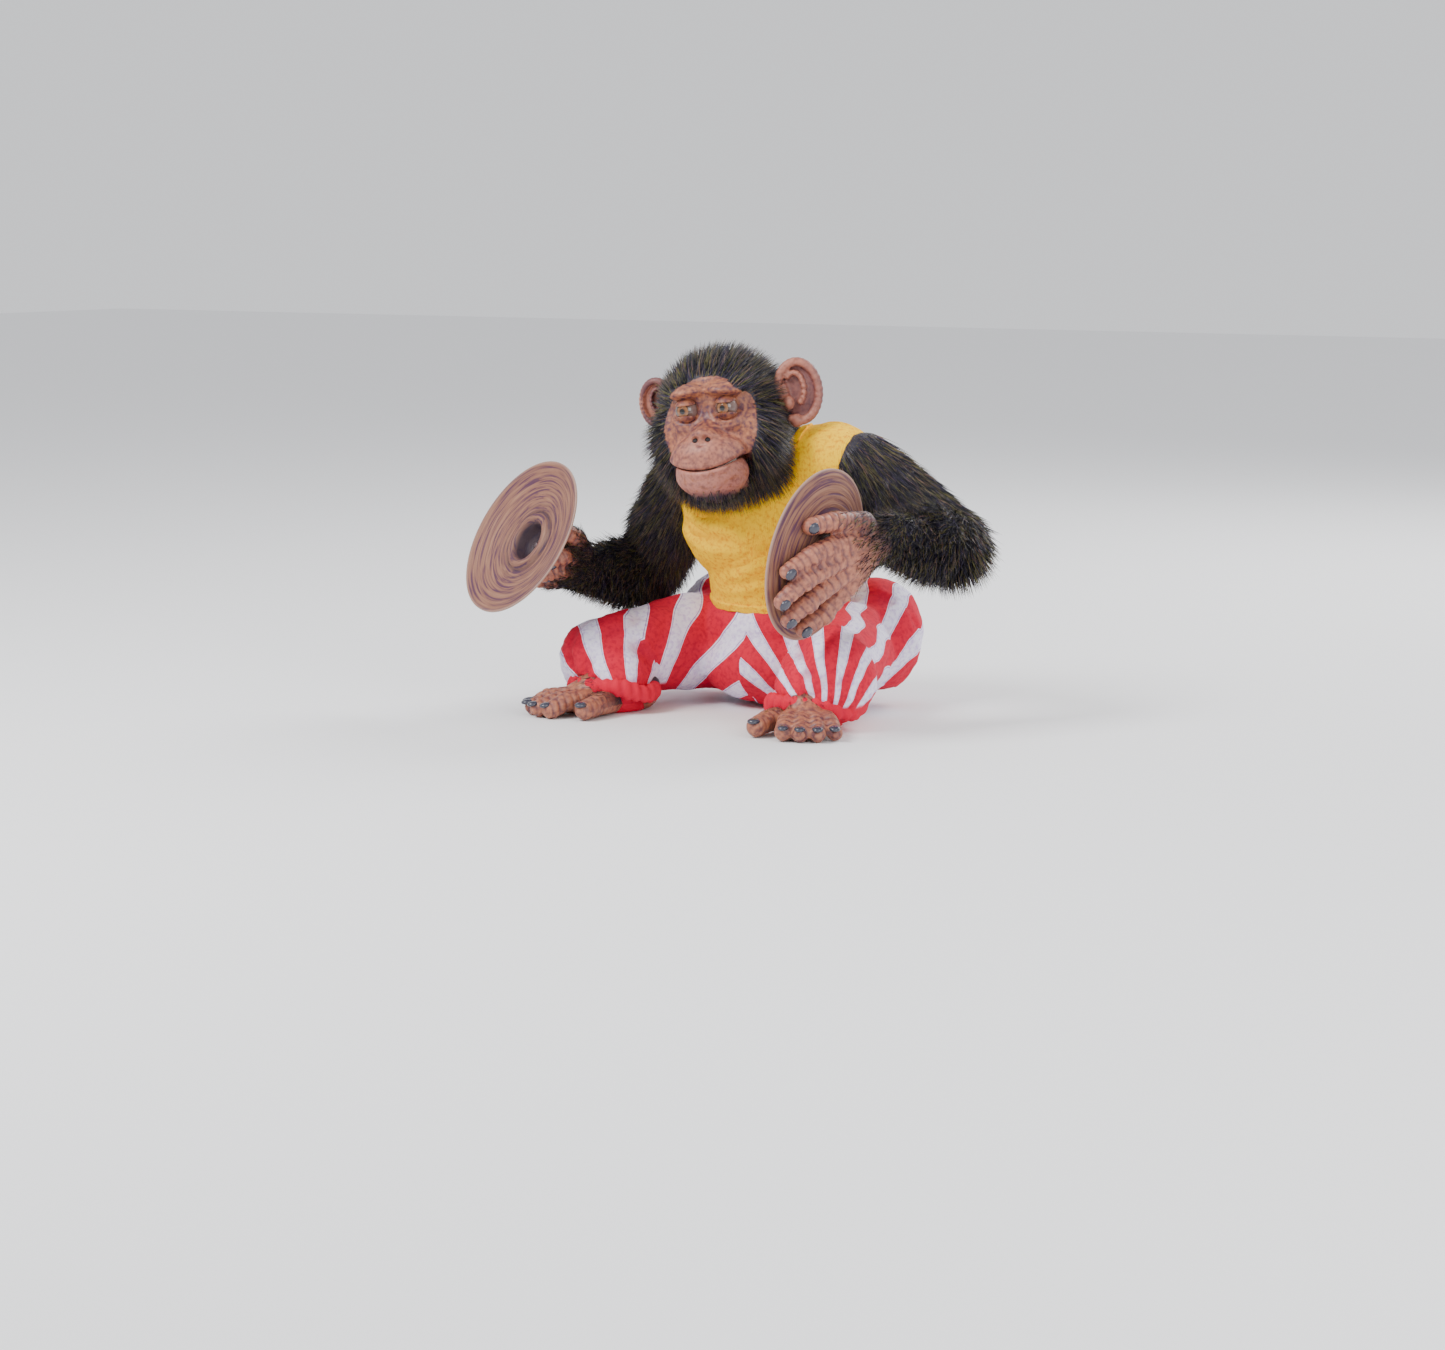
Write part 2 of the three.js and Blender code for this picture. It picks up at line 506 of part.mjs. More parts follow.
// ---- arms, hands and cymbals ----
const sides = ["right", "left"];
const dishDepth = 8;
const bell = { radius: 15, height: 11 };
function cymbalShape(place) {
  const outerFace = [
    [3.2, -bell.height - dishDepth], [9, -bell.height - dishDepth + 1.5], [13.5, -dishDepth - 4],
    [bell.radius, -dishDepth], [36, -dishDepth + 4], [cymbalRadius, 0],
  ];
  const pairs = [...outerFace, ...outerFace.toReversed().map(([r, h]) => [r, h + cymbalGauge])];
  pairs.push(pairs[0]);
  return turned(pairs, 28, aimed(place.centre, place.faces));
}
const alongFace = (place, distance) =>
  v3(place.centre).addScaledVector(v3(place.faces).normalize(), distance).toArray();
const bellBack = -bell.height - dishDepth;
for (const side of sides) {
  const place = cymbal[side];
  const pinAlong = (distance) =>
    v3(shoulder[side]).addScaledVector(v3(shoulderAxis[side]).normalize(), distance).toArray();
  const slot = shoulderSlot(side);
  const arm = join(upperArm(side, 0), limb(elbow[side], wrist[side], elbow.radius, wrist.radius)).subtract(slot);
  // Palm and fingers lie behind the cymbal, with the strap knob between them and the bell.
  const back = alongFace(place, bellBack - 12);
  const palm = limb(wrist[side], back, wrist.ball, 11, 12);
  const fingers = fingersOf(side, place);
  const turnAxis = v3(wristAxis[side]).normalize();
  const wristAlong = (distance) => v3(wrist[side]).addScaledVector(turnAxis, distance).toArray();
  const wristPin = rod(wristAlong(-10.5), wristAlong(10.5), pinRadius.wrist, 32);
  const wristBore = rod(wristAlong(-20), wristAlong(20), pinRadius.wrist + running, 32);
  const palmSweep = [-2, wristTurn[side] / 2, wristTurn[side] + 2].map((degrees) => {
    const reach = v3(back).sub(v3(wrist[side]));
    reach.applyAxisAngle(turnAxis, THREE.MathUtils.degToRad(degrees));
    return limb(wrist[side], v3(wrist[side]).add(reach).toArray(), wrist.ball + 0.6, 11.6, 12);
  });
  const cymbalSpace = solid(
    new THREE.CylinderGeometry(cymbalRadius + 2, cymbalRadius + 2, 24, 32).rotateX(Math.PI / 2),
    aimed(alongFace(place, 12 - dishDepth - 1.5), place.faces),
  );
  const bellSpace = solid(
    new THREE.CylinderGeometry(bell.radius + 1, bell.radius + 1, 16, 24).rotateX(Math.PI / 2),
    aimed(alongFace(place, bellBack + 6.5), place.faces),
  );
  const boltSpace = rod(alongFace(place, bellBack - 14), alongFace(place, 10), 2.6, 12);
  const hand = join(palm, ...fingers).subtract(cymbalSpace).subtract(bellSpace);
  const handBody = largest(coarse(hand).subtract(wristBore).subtract(boltSpace));
  add(side + "_hand", handBody, skin);
  const armBody = coarse(arm.subtract(join(...palmSweep)).subtract(cymbalSpace).subtract(join(...fingers)));
  const shoulderBore = rod(pinAlong(-14.2), pinAlong(40), pinRadius.shoulder + running, 32);
  add(side + "_arm", largest(armBody.subtract(shoulderBore).subtract(wristBore)), fur);
  add(side + "_wrist_pin", wristPin, steel);
  add(side + "_cymbal", cymbalShape(place), copper);
  add(side + "_cymbal_bolt", join(
    rod(alongFace(place, bellBack - 12), alongFace(place, bellBack + cymbalGauge + 2.6), 2.2, 12),
    rod(alongFace(place, bellBack + cymbalGauge + 0.5), alongFace(place, bellBack + cymbalGauge + 3), 4.6, 16),
  ), steel);
  add(side + "_shoulder_pin", rod(pinAlong(-14), pinAlong(14), pinRadius.shoulder, 32), steel);
  const eye = rod(pinAlong(-1.8), pinAlong(1.8), 9, 18);
  const bracket = join(eye, bracketBar(side, 0))
    .subtract(rod(pinAlong(-20), pinAlong(20), pinRadius.shoulder + 0.03, 32))
    .subtract(box([-far, -far, -far], [far, far, 121.4]));
  add(side + "_shoulder_bracket", bracket, steel);
}

// The slot in a shoulder: a flat round hollow, open on the side that the bracket comes in from.
function shoulderSlot(side) {
  const [from, to] = slotOpens[side].map(THREE.MathUtils.degToRad);
  const shape = new THREE.Shape();
  const steps = 6;
  shape.moveTo(0, 0);
  for (let i = 0; i <= steps; i++) {
    const angle = from + ((to - from) * i) / steps;
    shape.lineTo(30 * Math.cos(angle), 30 * Math.sin(angle));
  }
  const thick = 4.6;
  const wedge = solid(
    new THREE.ExtrudeGeometry(shape, { depth: thick, bevelEnabled: false }).translate(0, 0, -thick / 2),
    aimed(shoulder[side], shoulderAxis[side]),
  );
  const pocket = solid(
    new THREE.CylinderGeometry(9.6, 9.6, thick, 20).rotateX(Math.PI / 2),
    aimed(shoulder[side], shoulderAxis[side]),
  );
  return join(wedge, pocket);
}

function fingersOf(side, place) {
  const facing = v3(place.faces).normalize();
  const middle = v3(alongFace(place, -dishDepth - 5));
  // The hand runs from the wrist across the back of the cymbal.
  const reach = v3(place.centre).sub(v3(wrist[side]));
  reach.addScaledVector(facing, -reach.dot(facing));
  if (side === "left") reach.set(-8, -29, -41);
  else reach.set(-0.25, -0.2, -0.65);
  reach.addScaledVector(facing, -reach.dot(facing)).normalize();
  const acrossHand = new THREE.Vector3().crossVectors(facing, reach).normalize();
  const palmMiddle = v3(alongFace(place, bellBack - 8));
  const out = [];
  [-13, -4.5, 4, 12].forEach((sideways, i) => {
    const knuckle = palmMiddle.clone().addScaledVector(acrossHand, sideways * 0.8).addScaledVector(reach, 6);
    const tip = middle.clone().addScaledVector(acrossHand, sideways * 1.1).addScaledVector(reach, 42 - 3 * Math.abs(i - 1));
    out.push(limb(knuckle.toArray(), tip.toArray(), 6.2, 4.6, 6));
  });
  const thumbRoot = palmMiddle.clone().addScaledVector(acrossHand, -12);
  const thumbTip = middle.clone().addScaledVector(acrossHand, -30).addScaledVector(reach, -2);
  out.push(limb(thumbRoot.toArray(), thumbTip.toArray(), 6.2, 4.8, 6));
  return out;
}

export default toy;
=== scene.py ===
import math

import bmesh
import bpy
import numpy as np
from mathutils import Matrix, Vector, noise


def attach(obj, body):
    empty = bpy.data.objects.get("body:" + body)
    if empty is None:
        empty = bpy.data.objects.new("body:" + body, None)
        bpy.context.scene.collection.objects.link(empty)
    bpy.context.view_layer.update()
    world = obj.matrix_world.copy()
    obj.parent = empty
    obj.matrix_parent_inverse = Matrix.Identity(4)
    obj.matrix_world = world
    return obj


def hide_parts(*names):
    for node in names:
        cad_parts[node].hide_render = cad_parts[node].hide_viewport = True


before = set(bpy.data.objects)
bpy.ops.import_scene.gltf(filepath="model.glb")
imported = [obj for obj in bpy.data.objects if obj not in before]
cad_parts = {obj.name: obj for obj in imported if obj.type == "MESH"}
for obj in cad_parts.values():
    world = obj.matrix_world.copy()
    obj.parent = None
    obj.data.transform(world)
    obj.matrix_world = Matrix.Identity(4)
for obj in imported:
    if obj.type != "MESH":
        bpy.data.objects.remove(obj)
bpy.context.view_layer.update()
mm = 0.001
print("frame loaded")


def newPiece(name, bm):
    bmesh.ops.recalc_face_normals(bm, faces=bm.faces)
    mesh = bpy.data.meshes.new(name)
    bm.to_mesh(mesh)
    bm.free()
    obj = bpy.data.objects.new(name, mesh)
    bpy.context.scene.collection.objects.link(obj)
    return obj


def settle(obj):  # apply every modifier
    deps = bpy.context.evaluated_depsgraph_get()
    mesh = bpy.data.meshes.new_from_object(obj.evaluated_get(deps), preserve_all_data_layers=True, depsgraph=deps)
    obj.modifiers.clear()
    obj.data = mesh
    return obj


def addEgg(bm, centre, radii, turn=Matrix.Identity(4), detail=24):
    place = Matrix.Translation(Vector(centre) * mm) @ turn @ Matrix.Diagonal((*(Vector(radii) * mm), 1))
    bmesh.ops.create_uvsphere(bm, u_segments=detail, v_segments=detail // 2, radius=1, matrix=place)


def addLimb(bm, start, end, startRadius, endRadius, detail=20):
    a, b = Vector(start) * mm, Vector(end) * mm
    turn = (b - a).to_track_quat("Z", "Y").to_matrix().to_4x4()
    bmesh.ops.create_cone(bm, cap_ends=True, segments=detail, radius1=startRadius * mm, radius2=endRadius * mm,
                          depth=(b - a).length, matrix=Matrix.Translation((a + b) / 2) @ turn)
    addEgg(bm, start, [startRadius] * 3, turn, detail)
    addEgg(bm, end, [endRadius] * 3, turn, detail)


def mould(name, build, voxel, rounds):  # many rough lumps become one smooth skin
    bm = bmesh.new()
    build(bm)
    obj = newPiece(name, bm)
    remesh = obj.modifiers.new("oneSkin", "REMESH")
    remesh.mode = "VOXEL"
    remesh.voxel_size = voxel * mm
    remesh.use_smooth_shade = True
    soften = obj.modifiers.new("soften", "SMOOTH")
    soften.iterations = rounds
    soften.factor = 0.5
    return settle(obj)


def points(obj):
    co = np.empty(len(obj.data.vertices) * 3)
    obj.data.vertices.foreach_get("co", co)
    return co.reshape(-1, 3) / mm


def normals(obj):
    no = np.empty(len(obj.data.vertices) * 3)
    obj.data.vertices.foreach_get("normal", no)
    return no.reshape(-1, 3)


def place(obj, co):
    obj.data.vertices.foreach_set("co", (co * mm).ravel())
    obj.data.update()


def press(obj, dabs, toLocal=None):  # dab: centre, reach, push (vector or a number along the normal)
    co = points(obj)
    no = normals(obj)
    local = co if toLocal is None else (co - toLocal[0]) @ toLocal[1]
    moved = np.zeros_like(co)
    for centre, reach, push in dabs:
        reach = np.array(reach, float)
        w = np.exp(-(((local - np.array(centre)) / reach) ** 2).sum(1))[:, None]
        if np.isscalar(push):
            moved += w * push * no
        else:
            vector = np.array(push, float)
            moved += w * (vector if toLocal is None else toLocal[1] @ vector)
    place(obj, co + moved)


def keep(obj, name, values):  # a value for each vertex, read by materials and fur
    vector = np.ndim(values) == 2
    layer = obj.data.attributes.new(name, "FLOAT_VECTOR" if vector else "FLOAT", "POINT")
    layer.data.foreach_set("vector" if vector else "value", np.asarray(values, np.float32).ravel())


def carve(obj, cutters, operation="DIFFERENCE"):
    for cutter in cutters:
        cut = obj.modifiers.new("cut", "BOOLEAN")
        cut.operation = operation
        cut.solver = "MANIFOLD"
        cut.object = cutter
        settle(obj)
    return obj


def discard(*objs):
    for obj in objs:
        bpy.data.objects.remove(obj)


def roughness(co, scale, octaves=3):
    return np.array([noise.fractal(Vector(p) * scale, 1.0, 2.0, octaves) for p in co])


def studs(name, spots, size, material, body):
    bm = bmesh.new()
    for spot in spots:
        addEgg(bm, spot, (size,) * 3, detail=12)
    return finishPiece(newPiece(name, bm), material, body)


# --- finishes ---

# some colours here also serve as painted light: the deep face, deep yellow and deep red colours are painted shade in
# folds and creases, the bell colour is painted shade in the cymbal's hollow, and the rim colour is a painted
# highlight on the cymbal's edge
finishes = {
    "furDark": (0.005, 0.004, 0.011), "furMid": (0.040, 0.024, 0.080), "furOlive": (0.13, 0.125, 0.02),
    "furBrown": (0.22, 0.115, 0.10), "face": (0.30, 0.095, 0.042), "faceDeep": (0.075, 0.022, 0.04),
    "muzzle": (0.42, 0.155, 0.11), "faceWarm": (0.46, 0.17, 0.075), "underFur": (0.014, 0.010, 0.02),
    "yellow": (1.0, 0.58, 0.0), "yellowDeep": (0.80, 0.30, 0.0),
    "red": (0.62, 0.004, 0.034), "redPaintedShade": (0.42, 0.006, 0.04), "white": (0.80, 0.76, 0.90),
    "violet": (0.30, 0.16, 0.45), "copper": (0.21, 0.085, 0.052), "copperDeep": (0.07, 0.018, 0.045),
    "copperPale": (0.30, 0.145, 0.085), "rim": (0.36, 0.22, 0.17), "bellPaintedShade": (0.02, 0.008, 0.02),
    "nail": (0.035, 0.035, 0.055),
}


def startMaterial(name, rough, metallic=0.0):
    material = bpy.data.materials.new(name)
    material.use_nodes = True
    shader = material.node_tree.nodes["Principled BSDF"]
    shader.inputs["Roughness"].default_value = rough
    shader.inputs["Metallic"].default_value = metallic
    return material, material.node_tree.nodes, material.node_tree.links, shader


def ramp(nodes, links, source, stops, smooth="LINEAR"):
    made = nodes.new("ShaderNodeValToRGB")
    made.color_ramp.interpolation = smooth
    while len(made.color_ramp.elements) < len(stops):
        made.color_ramp.elements.new(0.5)
    for element, (at, color) in zip(made.color_ramp.elements, stops):
        element.position = at
        element.color = (*color, 1)
    links.new(source, made.inputs["Fac"])
    return made


def grain(nodes, links, scale, detail=4, stretch=(1, 1, 1)):
    where = nodes.new("ShaderNodeTexCoord")
    mapping = nodes.new("ShaderNodeMapping")
    mapping.inputs["Scale"].default_value = stretch
    texture = nodes.new("ShaderNodeTexNoise")
    texture.inputs["Scale"].default_value = scale
    texture.inputs["Detail"].default_value = detail
    links.new(where.outputs["Object"], mapping.inputs["Vector"])
    links.new(mapping.outputs["Vector"], texture.inputs["Vector"])
    return texture


def attribute(nodes, name):
    made = nodes.new("ShaderNodeAttribute")
    made.attribute_name = name
    return made


def blendColor(nodes, links, amount, first, second, mode="MIX"):
    made = nodes.new("ShaderNodeMix")
    made.data_type = "RGBA"
    made.blend_type = mode
    for value, socket in ((amount, 0), (first, 6), (second, 7)):
        if hasattr(value, "is_linked"):
            links.new(value, made.inputs[socket])
        else:
            made.inputs[socket].default_value = value if np.isscalar(value) else (*value, 1)
    return made.outputs[2]


def bump(nodes, links, shader, height, strength, distance):
    made = nodes.new("ShaderNodeBump")
    made.inputs["Strength"].default_value = strength
    made.inputs["Distance"].default_value = distance
    links.new(height, made.inputs["Height"])
    links.new(made.outputs["Normal"], shader.inputs["Normal"])


def furFinish():
    material, nodes, links, shader = startMaterial("longPile", 0.48)
    tone = attribute(nodes, "strandTone")
    f = finishes
    stops = [(0.0, f["furDark"]), (0.5, f["furDark"]), (0.62, f["furMid"]), (0.85, f["furOlive"]),
             (1.0, f["furBrown"])]
    color = ramp(nodes, links, tone.outputs["Fac"], stops)
    links.new(color.outputs["Color"], shader.inputs["Base Color"])
    return material


def skinFinish():
    material, nodes, links, shader = startMaterial("barkSkin", 0.5)
    f = finishes
    fine = grain(nodes, links, 330, 6)
    base = ramp(nodes, links, fine.outputs["Fac"],
                [(0.34, f["faceDeep"]), (0.50, f["face"]), (0.68, f["faceWarm"])])
    pink = ramp(nodes, links, fine.outputs["Fac"], [(0.30, f["face"]), (0.5, f["muzzle"])])
    flush = attribute(nodes, "flush").outputs["Fac"]
    mixed = blendColor(nodes, links, flush, base.outputs["Color"], pink.outputs["Color"])
    furred = blendColor(nodes, links, attribute(nodes, "furMask").outputs["Fac"], mixed, f["underFur"])
    # painted shade: folds, wrinkles, eye sockets, the mouth seam and the ear hollows darken towards faceDeep, mixed
    # with some random mottling
    shaded = blendColor(nodes, links, attribute(nodes, "paintedShadeAndMottle").outputs["Fac"], furred, f["faceDeep"])
    links.new(shaded, shader.inputs["Base Color"])
    bump(nodes, links, shader, fine.outputs["Fac"], 0.35, 0.0006)
    shader.inputs["Subsurface Weight"].default_value = 0.06
    shader.inputs["Subsurface Scale"].default_value = 0.003
    return material


def knitFinish(name, deep, pale):
    material, nodes, links, shader = startMaterial(name, 0.85)
    where = nodes.new("ShaderNodeTexCoord")
    ribs = nodes.new("ShaderNodeTexWave")
    ribs.inputs["Scale"].default_value = 260
    ribs.inputs["Distortion"].default_value = 1.2
    ribs.inputs["Detail"].default_value = 2
    links.new(where.outputs["Object"], ribs.inputs["Vector"])
    fuzz = grain(nodes, links, 420, 3)
    color = ramp(nodes, links, fuzz.outputs["Fac"], [(0.3, deep), (0.52, pale)])
    # painted shade: the knit darkens towards the deep yellow in its folds and hems
    shaded = blendColor(nodes, links, attribute(nodes, "paintedShadeAndMottle").outputs["Fac"], color.outputs["Color"], deep)
    links.new(shaded, shader.inputs["Base Color"])
    bump(nodes, links, shader, ribs.outputs["Fac"], 0.4, 0.0006)
    shader.inputs["Specular IOR Level"].default_value = 0.2
    return material


def stripeFinish():
    material, nodes, links, shader = startMaterial("stripedCotton", 0.8)
    f = finishes
    stripe = attribute(nodes, "stripeWave")
    stops = [(0.0, f["red"]), (0.585, f["red"]), (0.60, f["white"]), (0.66, f["white"]),
             (0.675, f["violet"]), (0.70, f["violet"]), (0.715, f["white"]), (1.0, f["white"])]
    bands = ramp(nodes, links, stripe.outputs["Fac"], stops)
    weave = grain(nodes, links, 380, 3)
    tint = ramp(nodes, links, weave.outputs["Fac"], [(0.3, (0.72, 0.62, 0.82)), (0.55, (1, 1, 1))])
    woven = blendColor(nodes, links, 1.0, bands.outputs["Color"], tint.outputs["Color"], "MULTIPLY")
    cuffed = blendColor(nodes, links, attribute(nodes, "cuff").outputs["Fac"], woven, f["red"])
    # painted shade: the cotton darkens towards a deep red in its fold troughs and cuff ruffles
    shaded = blendColor(nodes, links, attribute(nodes, "paintedShadeAndMottle").outputs["Fac"], cuffed, f["redPaintedShade"])
    links.new(shaded, shader.inputs["Base Color"])
    bump(nodes, links, shader, weave.outputs["Fac"], 0.25, 0.0005)
    shader.inputs["Specular IOR Level"].default_value = 0.25
    return material


def cymbalFinish():
    material, nodes, links, shader = startMaterial("spunCopper", 0.62, 0.0)
    f = finishes
    where = attribute(nodes, "ringPlace")
    texture = nodes.new("ShaderNodeTexNoise")
    texture.noise_dimensions = "3D"
    texture.inputs["Scale"].default_value = 9
    texture.inputs["Detail"].default_value = 8
    texture.inputs["Distortion"].default_value = 0.6
    links.new(where.outputs["Vector"], texture.inputs["Vector"])
    color = ramp(nodes, links, texture.outputs["Fac"],
                 [(0.40, f["copperDeep"]), (0.50, f["copper"]), (0.74, f["copperPale"])])
    # painted highlight: a lighter band round the cymbal's edge
    rimPaintedHighlight = attribute(nodes, "rimPaintedHighlight").outputs["Fac"]
    rim = blendColor(nodes, links, rimPaintedHighlight, color.outputs["Color"], f["rim"])
    # painted shade: the bell's hollow and its grooves darken to near-black
    hollowShade = blendColor(nodes, links, attribute(nodes, "bellShade").outputs["Fac"], rim, f["bellPaintedShade"])
    links.new(hollowShade, shader.inputs["Base Color"])
    bump(nodes, links, shader, texture.outputs["Fac"], 0.45, 0.0009)
    return material


def plainFinish(name, color, rough, metallic=0.0, coat=0.0):
    material, nodes, links, shader = startMaterial(name, rough, metallic)
    shader.inputs["Base Color"].default_value = (*color, 1)
    shader.inputs["Coat Weight"].default_value = coat
    return material


longPile = furFinish()
barkSkin = skinFinish()
yellowKnit = knitFinish("yellowKnit", finishes["yellowDeep"], finishes["yellow"])
stripedCotton = stripeFinish()
spunCopper = cymbalFinish()
darkNail = plainFinish("darkNail", finishes["nail"], 0.25, coat=0.4)
# near-black: painted shadow for the nostril openings, and the real colour of the vest stud
nostrilShadeAndStud = plainFinish("nostrilShadeAndStud", (0.01, 0.004, 0.006), 0.7)
nutSteel = plainFinish("nutSteel", (0.16, 0.12, 0.13), 0.35, 0.9)
print("finishes ready")


def finishPiece(obj, material, body, *nodes):
    obj.data.materials.clear()
    obj.data.materials.append(material)
    for polygon in obj.data.polygons:
        polygon.use_smooth = True
    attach(obj, body)
    if nodes:
        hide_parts(*nodes)
    return obj


# --- fur ---

strandShape = {"sides": 3, "bend": 0.28}


def makeStrand():
    bm = bmesh.new()
    bmesh.ops.create_cone(bm, cap_ends=True, segments=strandShape["sides"], radius1=1, radius2=0.05, depth=1,
                          matrix=Matrix.Translation((0, 0, 0.5)))
    upright = [e for e in bm.edges if abs(e.verts[0].co.z - e.verts[1].co.z) > 0.5]
    bmesh.ops.subdivide_edges(bm, edges=upright, cuts=1, use_grid_fill=True)
    for v in bm.verts:
        v.co.x += strandShape["bend"] * 14 * v.co.z ** 2
    return newPiece("strand", bm)


strand = makeStrand()


def growFur(name, skin, body, amount, width, seed, lift=0.5, wild=0.28):
    coat = skin.copy()
    coat.data = skin.data.copy()
    coat.name = name
    bpy.context.scene.collection.objects.link(coat)
    tree = bpy.data.node_groups.new(name, "GeometryNodeTree")
    tree.interface.new_socket("Geometry", in_out="INPUT", socket_type="NodeSocketGeometry")
    tree.interface.new_socket("Geometry", in_out="OUTPUT", socket_type="NodeSocketGeometry")
    add, link = tree.nodes.new, tree.links.new

    def named(what, kind):
        node = add("GeometryNodeInputNamedAttribute")
        node.data_type = kind
        node.inputs["Name"].default_value = what
        return node.outputs["Attribute"]

    def chance(low, high, kind="FLOAT", offset=0):
        node = add("FunctionNodeRandomValue")
        node.data_type = kind
        pair = (0, 1) if kind == "FLOAT_VECTOR" else (2, 3)
        node.inputs[pair[0]].default_value = low
        node.inputs[pair[1]].default_value = high
        node.inputs["Seed"].default_value = seed + offset
        return node.outputs[0 if kind == "FLOAT_VECTOR" else 1]

    def vectorMath(operation, a, b):
        node = add("ShaderNodeVectorMath")
        node.operation = operation
        link(a, node.inputs[0])
        if hasattr(b, "is_linked"):
            link(b, node.inputs["Scale"] if operation == "SCALE" else node.inputs[1])
        else:
            node.inputs["Scale"].default_value = b
        return node.outputs[0]

    source, result = add("NodeGroupInput"), add("NodeGroupOutput")
    area = sum(p.area for p in skin.data.polygons)
    scatter = add("GeometryNodeDistributePointsOnFaces")
    scatter.inputs["Seed"].default_value = seed
    density = add("ShaderNodeMath")
    density.operation = "MULTIPLY"
    link(named("furMask", "FLOAT"), density.inputs[0])
    density.inputs[1].default_value = amount / area
    link(density.outputs[0], scatter.inputs["Density"])
    link(source.outputs[0], scatter.inputs["Mesh"])
    raised = vectorMath("SCALE", scatter.outputs["Normal"], lift)
    combed = vectorMath("ADD", named("comb", "FLOAT_VECTOR"), raised)
    messy = vectorMath("ADD", combed, chance((-wild,) * 3, (wild,) * 3, "FLOAT_VECTOR", 3))
    turn = add("FunctionNodeAlignRotationToVector")
    turn.axis = "Z"
    link(messy, turn.inputs["Vector"])
    size = add("ShaderNodeCombineXYZ")
    size.inputs[0].default_value = width * mm
    size.inputs[1].default_value = width * mm
    reach = add("ShaderNodeMath")
    reach.operation = "MULTIPLY"
    link(named("furLength", "FLOAT"), reach.inputs[0])
    link(chance(0.6, 1.25, offset=5), reach.inputs[1])
    link(reach.outputs[0], size.inputs[2])
    info = add("GeometryNodeObjectInfo")
    info.inputs["Object"].default_value = strand
    spread = add("GeometryNodeInstanceOnPoints")
    link(scatter.outputs["Points"], spread.inputs["Points"])
    link(info.outputs["Geometry"], spread.inputs["Instance"])
    link(turn.outputs[0], spread.inputs["Rotation"])
    link(size.outputs[0], spread.inputs["Scale"])
    toned = add("GeometryNodeStoreNamedAttribute")
    toned.domain = "INSTANCE"
    toned.inputs["Name"].default_value = "strandTone"
    link(spread.outputs[0], toned.inputs["Geometry"])
    link(chance(0, 1, offset=9), toned.inputs["Value"])
    real = add("GeometryNodeRealizeInstances")
    link(toned.outputs[0], real.inputs[0])
    link(real.outputs[0], result.inputs[0])
    coat.modifiers.new("fur", "NODES").node_group = tree
    settle(coat)
    finishPiece(coat, longPile, body)
    print(name, len(coat.data.polygons), "faces of fur")
    return coat


# --- body under the vest ---

torso = {"belly": (0, -8, 62), "bellySize": (53, 47, 44), "chest": (-1, -42, 128), "chestSize": (55, 42, 48),
         "right": (-48, -45, 150), "left": (57, -46, 169), "shoulder": 23}


def torsoLumps(grow):
    def build(bm):
        g = Vector((grow,) * 3)
        addEgg(bm, torso["belly"], Vector(torso["bellySize"]) + g, detail=36)
        addEgg(bm, torso["chest"], Vector(torso["chestSize"]) + g, detail=36)
        addLimb(bm, torso["belly"], torso["chest"], 46 + grow, 42 + grow)
        addLimb(bm, torso["right"], torso["left"], torso["shoulder"] + grow, torso["shoulder"] + 1 + grow)
        addLimb(bm, (0, -38, 150), (-6, -72, 184), 40 + grow, 34 + grow)
    return build


def slouch(obj, amount):  # soft folds across the belly and under the arms
    co = points(obj)
    folds = np.zeros(len(co))
    rows = [(94, -1, 5, 0.28), (107, 1, 4.5, -0.25), (84, -1, 3.5, 0.12), (120, 1, 4, -0.35)]
    for level, side, thick, slope in rows:
        line = co[:, 2] - level - slope * co[:, 0] - 3 * np.sin(co[:, 0] / 13 + side)
        fade = np.exp(-((co[:, 0] + side * 22) / 34) ** 2) * (co[:, 1] < -10)
        folds += fade * (np.exp(-(line / thick) ** 2) - 0.8 * np.exp(-((line - thick * 1.7) / thick) ** 2))
    uneven = roughness(co, 0.035)
    shift = amount * (2.1 * folds + 1.6 * uneven)
    place(obj, co + normals(obj) * shift[:, None])
    # painted shade: the fold troughs are darkened in colour as well as pushed in
    keep(obj, "paintedShadeAndMottle", np.clip(-0.55 * folds, 0, 0.6))


chest = mould("chestFur", torsoLumps(0), 2.4, 12)
neckOpening = ((-10, -64, 192), (46, 50, 49))
co = points(chest)
armOpenings = {"left": ((110, -44, 148), (35, 56, 54)), "right": ((-98, -48, 128), (33, 48, 48))}
openings = [neckOpening, armOpenings["left"], armOpenings["right"]]
shows = np.minimum.reduce([(((co - np.array(c)) / np.array(r)) ** 2).sum(1) for c, r in openings])
keep(chest, "furMask", (shows < 0.98).astype(float))
keep(chest, "furLength", np.full(len(co), 11 * mm))
away = co - np.array((-6, -60, 215))
away /= np.linalg.norm(away, axis=1)[:, None]
keep(chest, "comb", away)
keep(chest, "flush", np.zeros(len(co)))
keep(chest, "paintedShadeAndMottle", np.zeros(len(co)))


def eggCutter(name, centre, radii, detail=64):
    bm = bmesh.new()
    addEgg(bm, centre, radii, detail=detail)
    return newPiece(name, bm)


